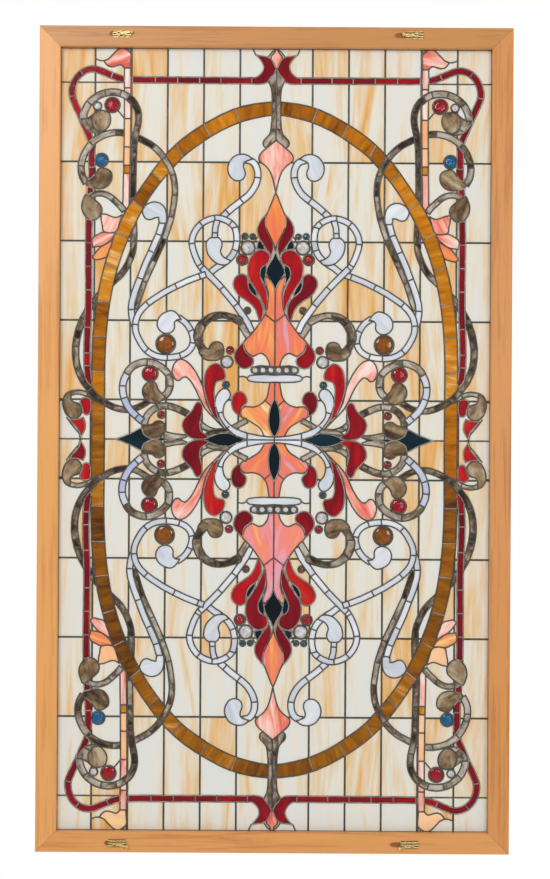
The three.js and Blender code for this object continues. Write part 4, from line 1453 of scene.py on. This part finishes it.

# %% [markdown]
# Old lead is dull grey and its solder a little lighter. Leads beside ruby or blue-black glass, or
# between pieces of the amber ring, get a painted highlight: a lighter grey that stands in for glare.
# The wood is straight-grained and varnished orange; its grain runs along each board, so rails and
# stiles have a finish each. Painted shade darkens the pockets beside the latches. The latches' plates
# are ribbed brass with browner patches, painted shadow in the rib hollows and painted highlight on
# the crests, and the levers' brass runs from brown to a pale cream that is painted highlight.

# %% Lead, wood and brass
def lead_finish(name, dark, light):
    """Grey metal whose tone drifts slowly, with a finely uneven skin."""
    add, cover = new_finish(name)
    where = add("ShaderNodeTexCoord").outputs["Object"]
    slow = noise_of(add, where, 60.0, 4.0, rough=0.6)
    skin = noise_of(add, where, 700.0, 2.0)
    return cover({
        "Base Color": ramp_of(add, slow, [(0.32, dark), (0.68, light)]),
        "Normal": relief_of(add, skin, 0.3, 0.0006), "Metallic": 0.6, "Roughness": 0.38,
    })


LEAD_FINISH = lead_finish("dull_lead", (62, 62, 56), (92, 90, 82))
SOLDER_FINISH = lead_finish("solder_bead", (66, 65, 60), (104, 101, 94))
# Painted highlight: a lighter grey that stands in for glare on the leads beside dark glass.
GLARE_PAINTED_FINISH = lead_finish("solder_painted_glare", (112, 107, 100), (166, 160, 150))
for name, material in (
    ("lead_grid_front", LEAD_FINISH), ("lead_ornament_front", SOLDER_FINISH), ("lead_back", LEAD_FINISH),
    ("lead_bright_front", GLARE_PAINTED_FINISH), ("solder_front", SOLDER_FINISH), ("solder_back", LEAD_FINISH),
    ("solder_filling", LEAD_FINISH), ("lead_edge", LEAD_FINISH), ("jewel_collars", SOLDER_FINISH),
):
    dress(bpy.data.objects[name], material, "lead_came")


GRAIN_DRAWN = 0.035                                 # noise drawn out along the board
POCKET_FLOOR = BOARD_FRONT + 0.002
POCKET_REACH, POCKET_HALF_HEIGHT = 0.006, 0.0045
# Painted shade: a dark brown laid in and round each finger pocket, where shade falls in the recess.
POCKET_SHADE = tint(146, 90, 48)
UPPER = [(-0.298, 0.004, 0.006), (0.2265, 0.004, 0.0125)]      # x, z and half length
LOWER = [(-0.298, -1.464, 0.006), (0.2265, -1.464, 0.0125)]


def wood_finish(name, along, light, dark, shift, pockets):
    """Straight grain: noise drawn out along the board makes bands, finer noise makes pores; both tint and
    raise it. Round each finger pocket, given by its middle and half length, painted shade darkens the
    wood in an egg-shaped space."""
    add, cover = new_finish(name)
    where = add("ShaderNodeTexCoord").outputs["Object"]
    squeeze = (GRAIN_DRAWN, 1.0, 1.0) if along == "x" else (1.0, 1.0, GRAIN_DRAWN)
    drawn = vector_math(add, "MULTIPLY", where, squeeze)
    moved = vector_math(add, "ADD", drawn, (shift, shift * 0.7, shift * 1.3))
    bands = noise_of(add, moved, 120.0, 5.0, rough=0.6, warp=0.8)
    pores = noise_of(add, moved, 900.0, 3.0, rough=0.7)
    slow = noise_of(add, where, 5.0, 2.0)
    mixed = times_plus(add, slow, 0.35, times_plus(add, pores, 0.3, bands))
    colour = ramp_of(add, mixed, [(0.55, dark), (0.82, light)])
    for x, z, half in pockets:
        away = vector_math(add, "SUBTRACT", where, (x, POCKET_FLOOR, z))
        evened = vector_math(add, "MULTIPLY", away, (1 / half, 1 / POCKET_REACH, 1 / POCKET_HALF_HEIGHT))
        far = add("ShaderNodeVectorMath", {0: evened}, operation="LENGTH").outputs["Value"]
        pocket_shade = add("ShaderNodeMapRange", {"Value": far, "From Min": 1.35, "From Max": 0.75}).outputs[0]
        colour = add("ShaderNodeMix", {0: pocket_shade, 6: colour, 7: POCKET_SHADE}, data_type="RGBA").outputs[2]
    return cover({
        "Base Color": colour, "Normal": relief_of(add, mixed, 0.25, 0.0006), "Roughness": 0.38,
    })


for node, along, light, dark, shift, pockets in (
    ("frame_rail_top", "x", (197, 135, 74), (156, 99, 48), 0.0, UPPER),
    ("frame_rail_bottom", "x", (218, 151, 84), (174, 109, 53), 2.3, LOWER),
    ("frame_stile_left", "z", (226, 160, 90), (200, 130, 66), 4.1, []),
    ("frame_stile_right", "z", (210, 142, 76), (168, 102, 49), 6.7, []),
):
    board = frame["nodes"][node]
    board.data.materials.clear()
    board.data.materials.append(wood_finish("wood_" + node, along, light, dark, shift, pockets))

RIB_PITCH = 0.0043
RIB_SCALE = 2 * np.pi / (20 * RIB_PITCH)     # the wave's own period is 2 pi / 20


def brass_finish(name, stops, ribs):
    """Yellow metal, browner in patches, with cast ribs along X. The shade is noise + ribs (1 + sin(2 pi z
    / pitch)) / 2; where it is low, in the rib hollows, the ramp paints shadow, and where it is high, painted
    highlight."""
    add, cover = new_finish(name)
    where = add("ShaderNodeTexCoord").outputs["Object"]
    patches = noise_of(add, where, 420.0, 3.0, rough=0.6)
    wave = {"Vector": where, "Scale": RIB_SCALE, "Distortion": 0.5, "Detail": 1.0}
    bands = add("ShaderNodeTexWave", wave, bands_direction="Z").outputs["Fac"]
    share = times_plus(add, bands, ribs, patches)
    return cover({
        "Base Color": ramp_of(add, share, stops), "Normal": relief_of(add, share, 0.5, 0.001),
        "Metallic": 0.5, "Roughness": 0.34,
    })


# Painted shadow and highlight: the near-black stop darkens the rib hollows, the pale cream stop lights the
# crests.
PLATE_SHADOW_AND_HIGHLIGHT_STOPS = [(0.5, (36, 26, 13)), (0.7, (146, 110, 48)), (0.94, (246, 218, 146))]
PLATE_BRASS = brass_finish("ribbed_brass_painted_light", PLATE_SHADOW_AND_HIGHLIGHT_STOPS, 0.5)
# The levers' pale cream end is painted highlight over brass that varies in tone.
LEVER_BRASS = brass_finish("rubbed_brass", [(0.3, (118, 88, 40)), (0.62, (244, 216, 146))], 0.06)
for node, piece in frame["nodes"].items():
    if node.startswith("latch"):
        piece.data.materials.clear()
        piece.data.materials.append(LEVER_BRASS if "lever" in node else PLATE_BRASS)
print("finishes:", len(bpy.data.materials))

# %% [markdown]
# ## Standing for the solids
# The fused sheets of glass, the plain jewels and the plain leads give way to the
# finer pieces made here, and those solids are hidden. The boards and the latches
# are kept as they came.

# %% Hide the solids that the new pieces stand for
PANEL_NODES = [n for n in frame["nodes"] if "glass" in n or "jewel" in n]
by_kind = {
    "glass_cream": ["cream_glass_border", "cream_glass_centre"],
    "glass_amber": ["amber_ring_glass"],
    "glass_red": [n for n in PANEL_NODES if n.startswith("red_border")],
    "glass_red_jewels": [n for n in PANEL_NODES if n.startswith("red_jewel")],
    "glass_blue_jewels": [n for n in PANEL_NODES if n.startswith("blue_jewel")],
    "glass_amber_jewels": [n for n in PANEL_NODES if n.startswith("amber_jewel")],
    "lead_ornament_front": ["lead_cames"],
}
for name, nodes in by_kind.items():
    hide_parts(*nodes)
print({name: len(nodes) for name, nodes in by_kind.items()})

# %% [markdown]
# ## Light and floor
# Opal glass looks best with soft light on both sides. A white surrounding gives
# even light from behind and a dimmer one in front, where two large soft lamps
# shape the beads of solder and add gloss. A pale floor lies well below the hung
# window.

# %% Light and floor
scene = bpy.context.scene
scene.view_settings.view_transform = "Standard"
world = bpy.data.worlds.new("white_room")
scene.world = world
world.use_nodes = True
sky = world.node_tree
sky_place = sky.nodes.new("ShaderNodeTexCoord")
sky_parts = sky.nodes.new("ShaderNodeSeparateXYZ")
sky_step = sky.nodes.new("ShaderNodeMapRange")
fill(sky, sky_parts, {0: sky_place.outputs["Generated"]})
fill(sky, sky_step, {"Value": sky_parts.outputs["Y"], "From Min": -0.35, "From Max": 0.15, "To Min": 0.5,
                     "To Max": 1.0})
fill(sky, sky.nodes["Background"], {"Strength": sky_step.outputs["Result"], "Color": (1, 1, 1, 1)})


def soft_lamp(name, place, aim, size, power):
    """A square lamp at a place, turned towards a point."""
    data = bpy.data.lights.new(name, "AREA")
    data.size = size
    data.energy = power
    lamp = bpy.data.objects.new(name, data)
    scene.collection.objects.link(lamp)
    lamp.location = place
    lamp.rotation_euler = (Vector(aim) - Vector(place)).to_track_quat("-Z", "Y").to_euler()


soft_lamp("front_left_lamp", (-1.35, -2.9, 0.75), (0, 0, CENTRE_Z), 1.0, 44)
soft_lamp("front_right_lamp", (1.55, -2.9, -0.35), (0, 0, CENTRE_Z), 0.9, 20)
FLOOR_HALF, FLOOR_CELLS, FLOOR_DROP = 2.6, 8, 0.9
cell = np.linspace(-FLOOR_HALF, FLOOR_HALF, FLOOR_CELLS + 1)
gx, gy = np.meshgrid(cell, cell, indexing="ij")
floor_points = np.stack([gx, gy, np.full(gx.shape, CAD_BOX[0][2] - FLOOR_DROP)], 2).reshape(-1, 3)
row = FLOOR_CELLS + 1
i = np.arange(FLOOR_CELLS)[:, None] * row
j = np.arange(FLOOR_CELLS)[None]
floor_faces = np.stack([i + j, i + row + j, i + row + 1 + j, i + 1 + j], 2).reshape(-1, 4)
floor = make_mesh("pale_floor", floor_points, [floor_faces])
_, cover_floor = new_finish("pale_floor_paint")
floor.data.materials.append(cover_floor({"Base Color": (0.9, 0.9, 0.9, 1), "Roughness": 0.8}))
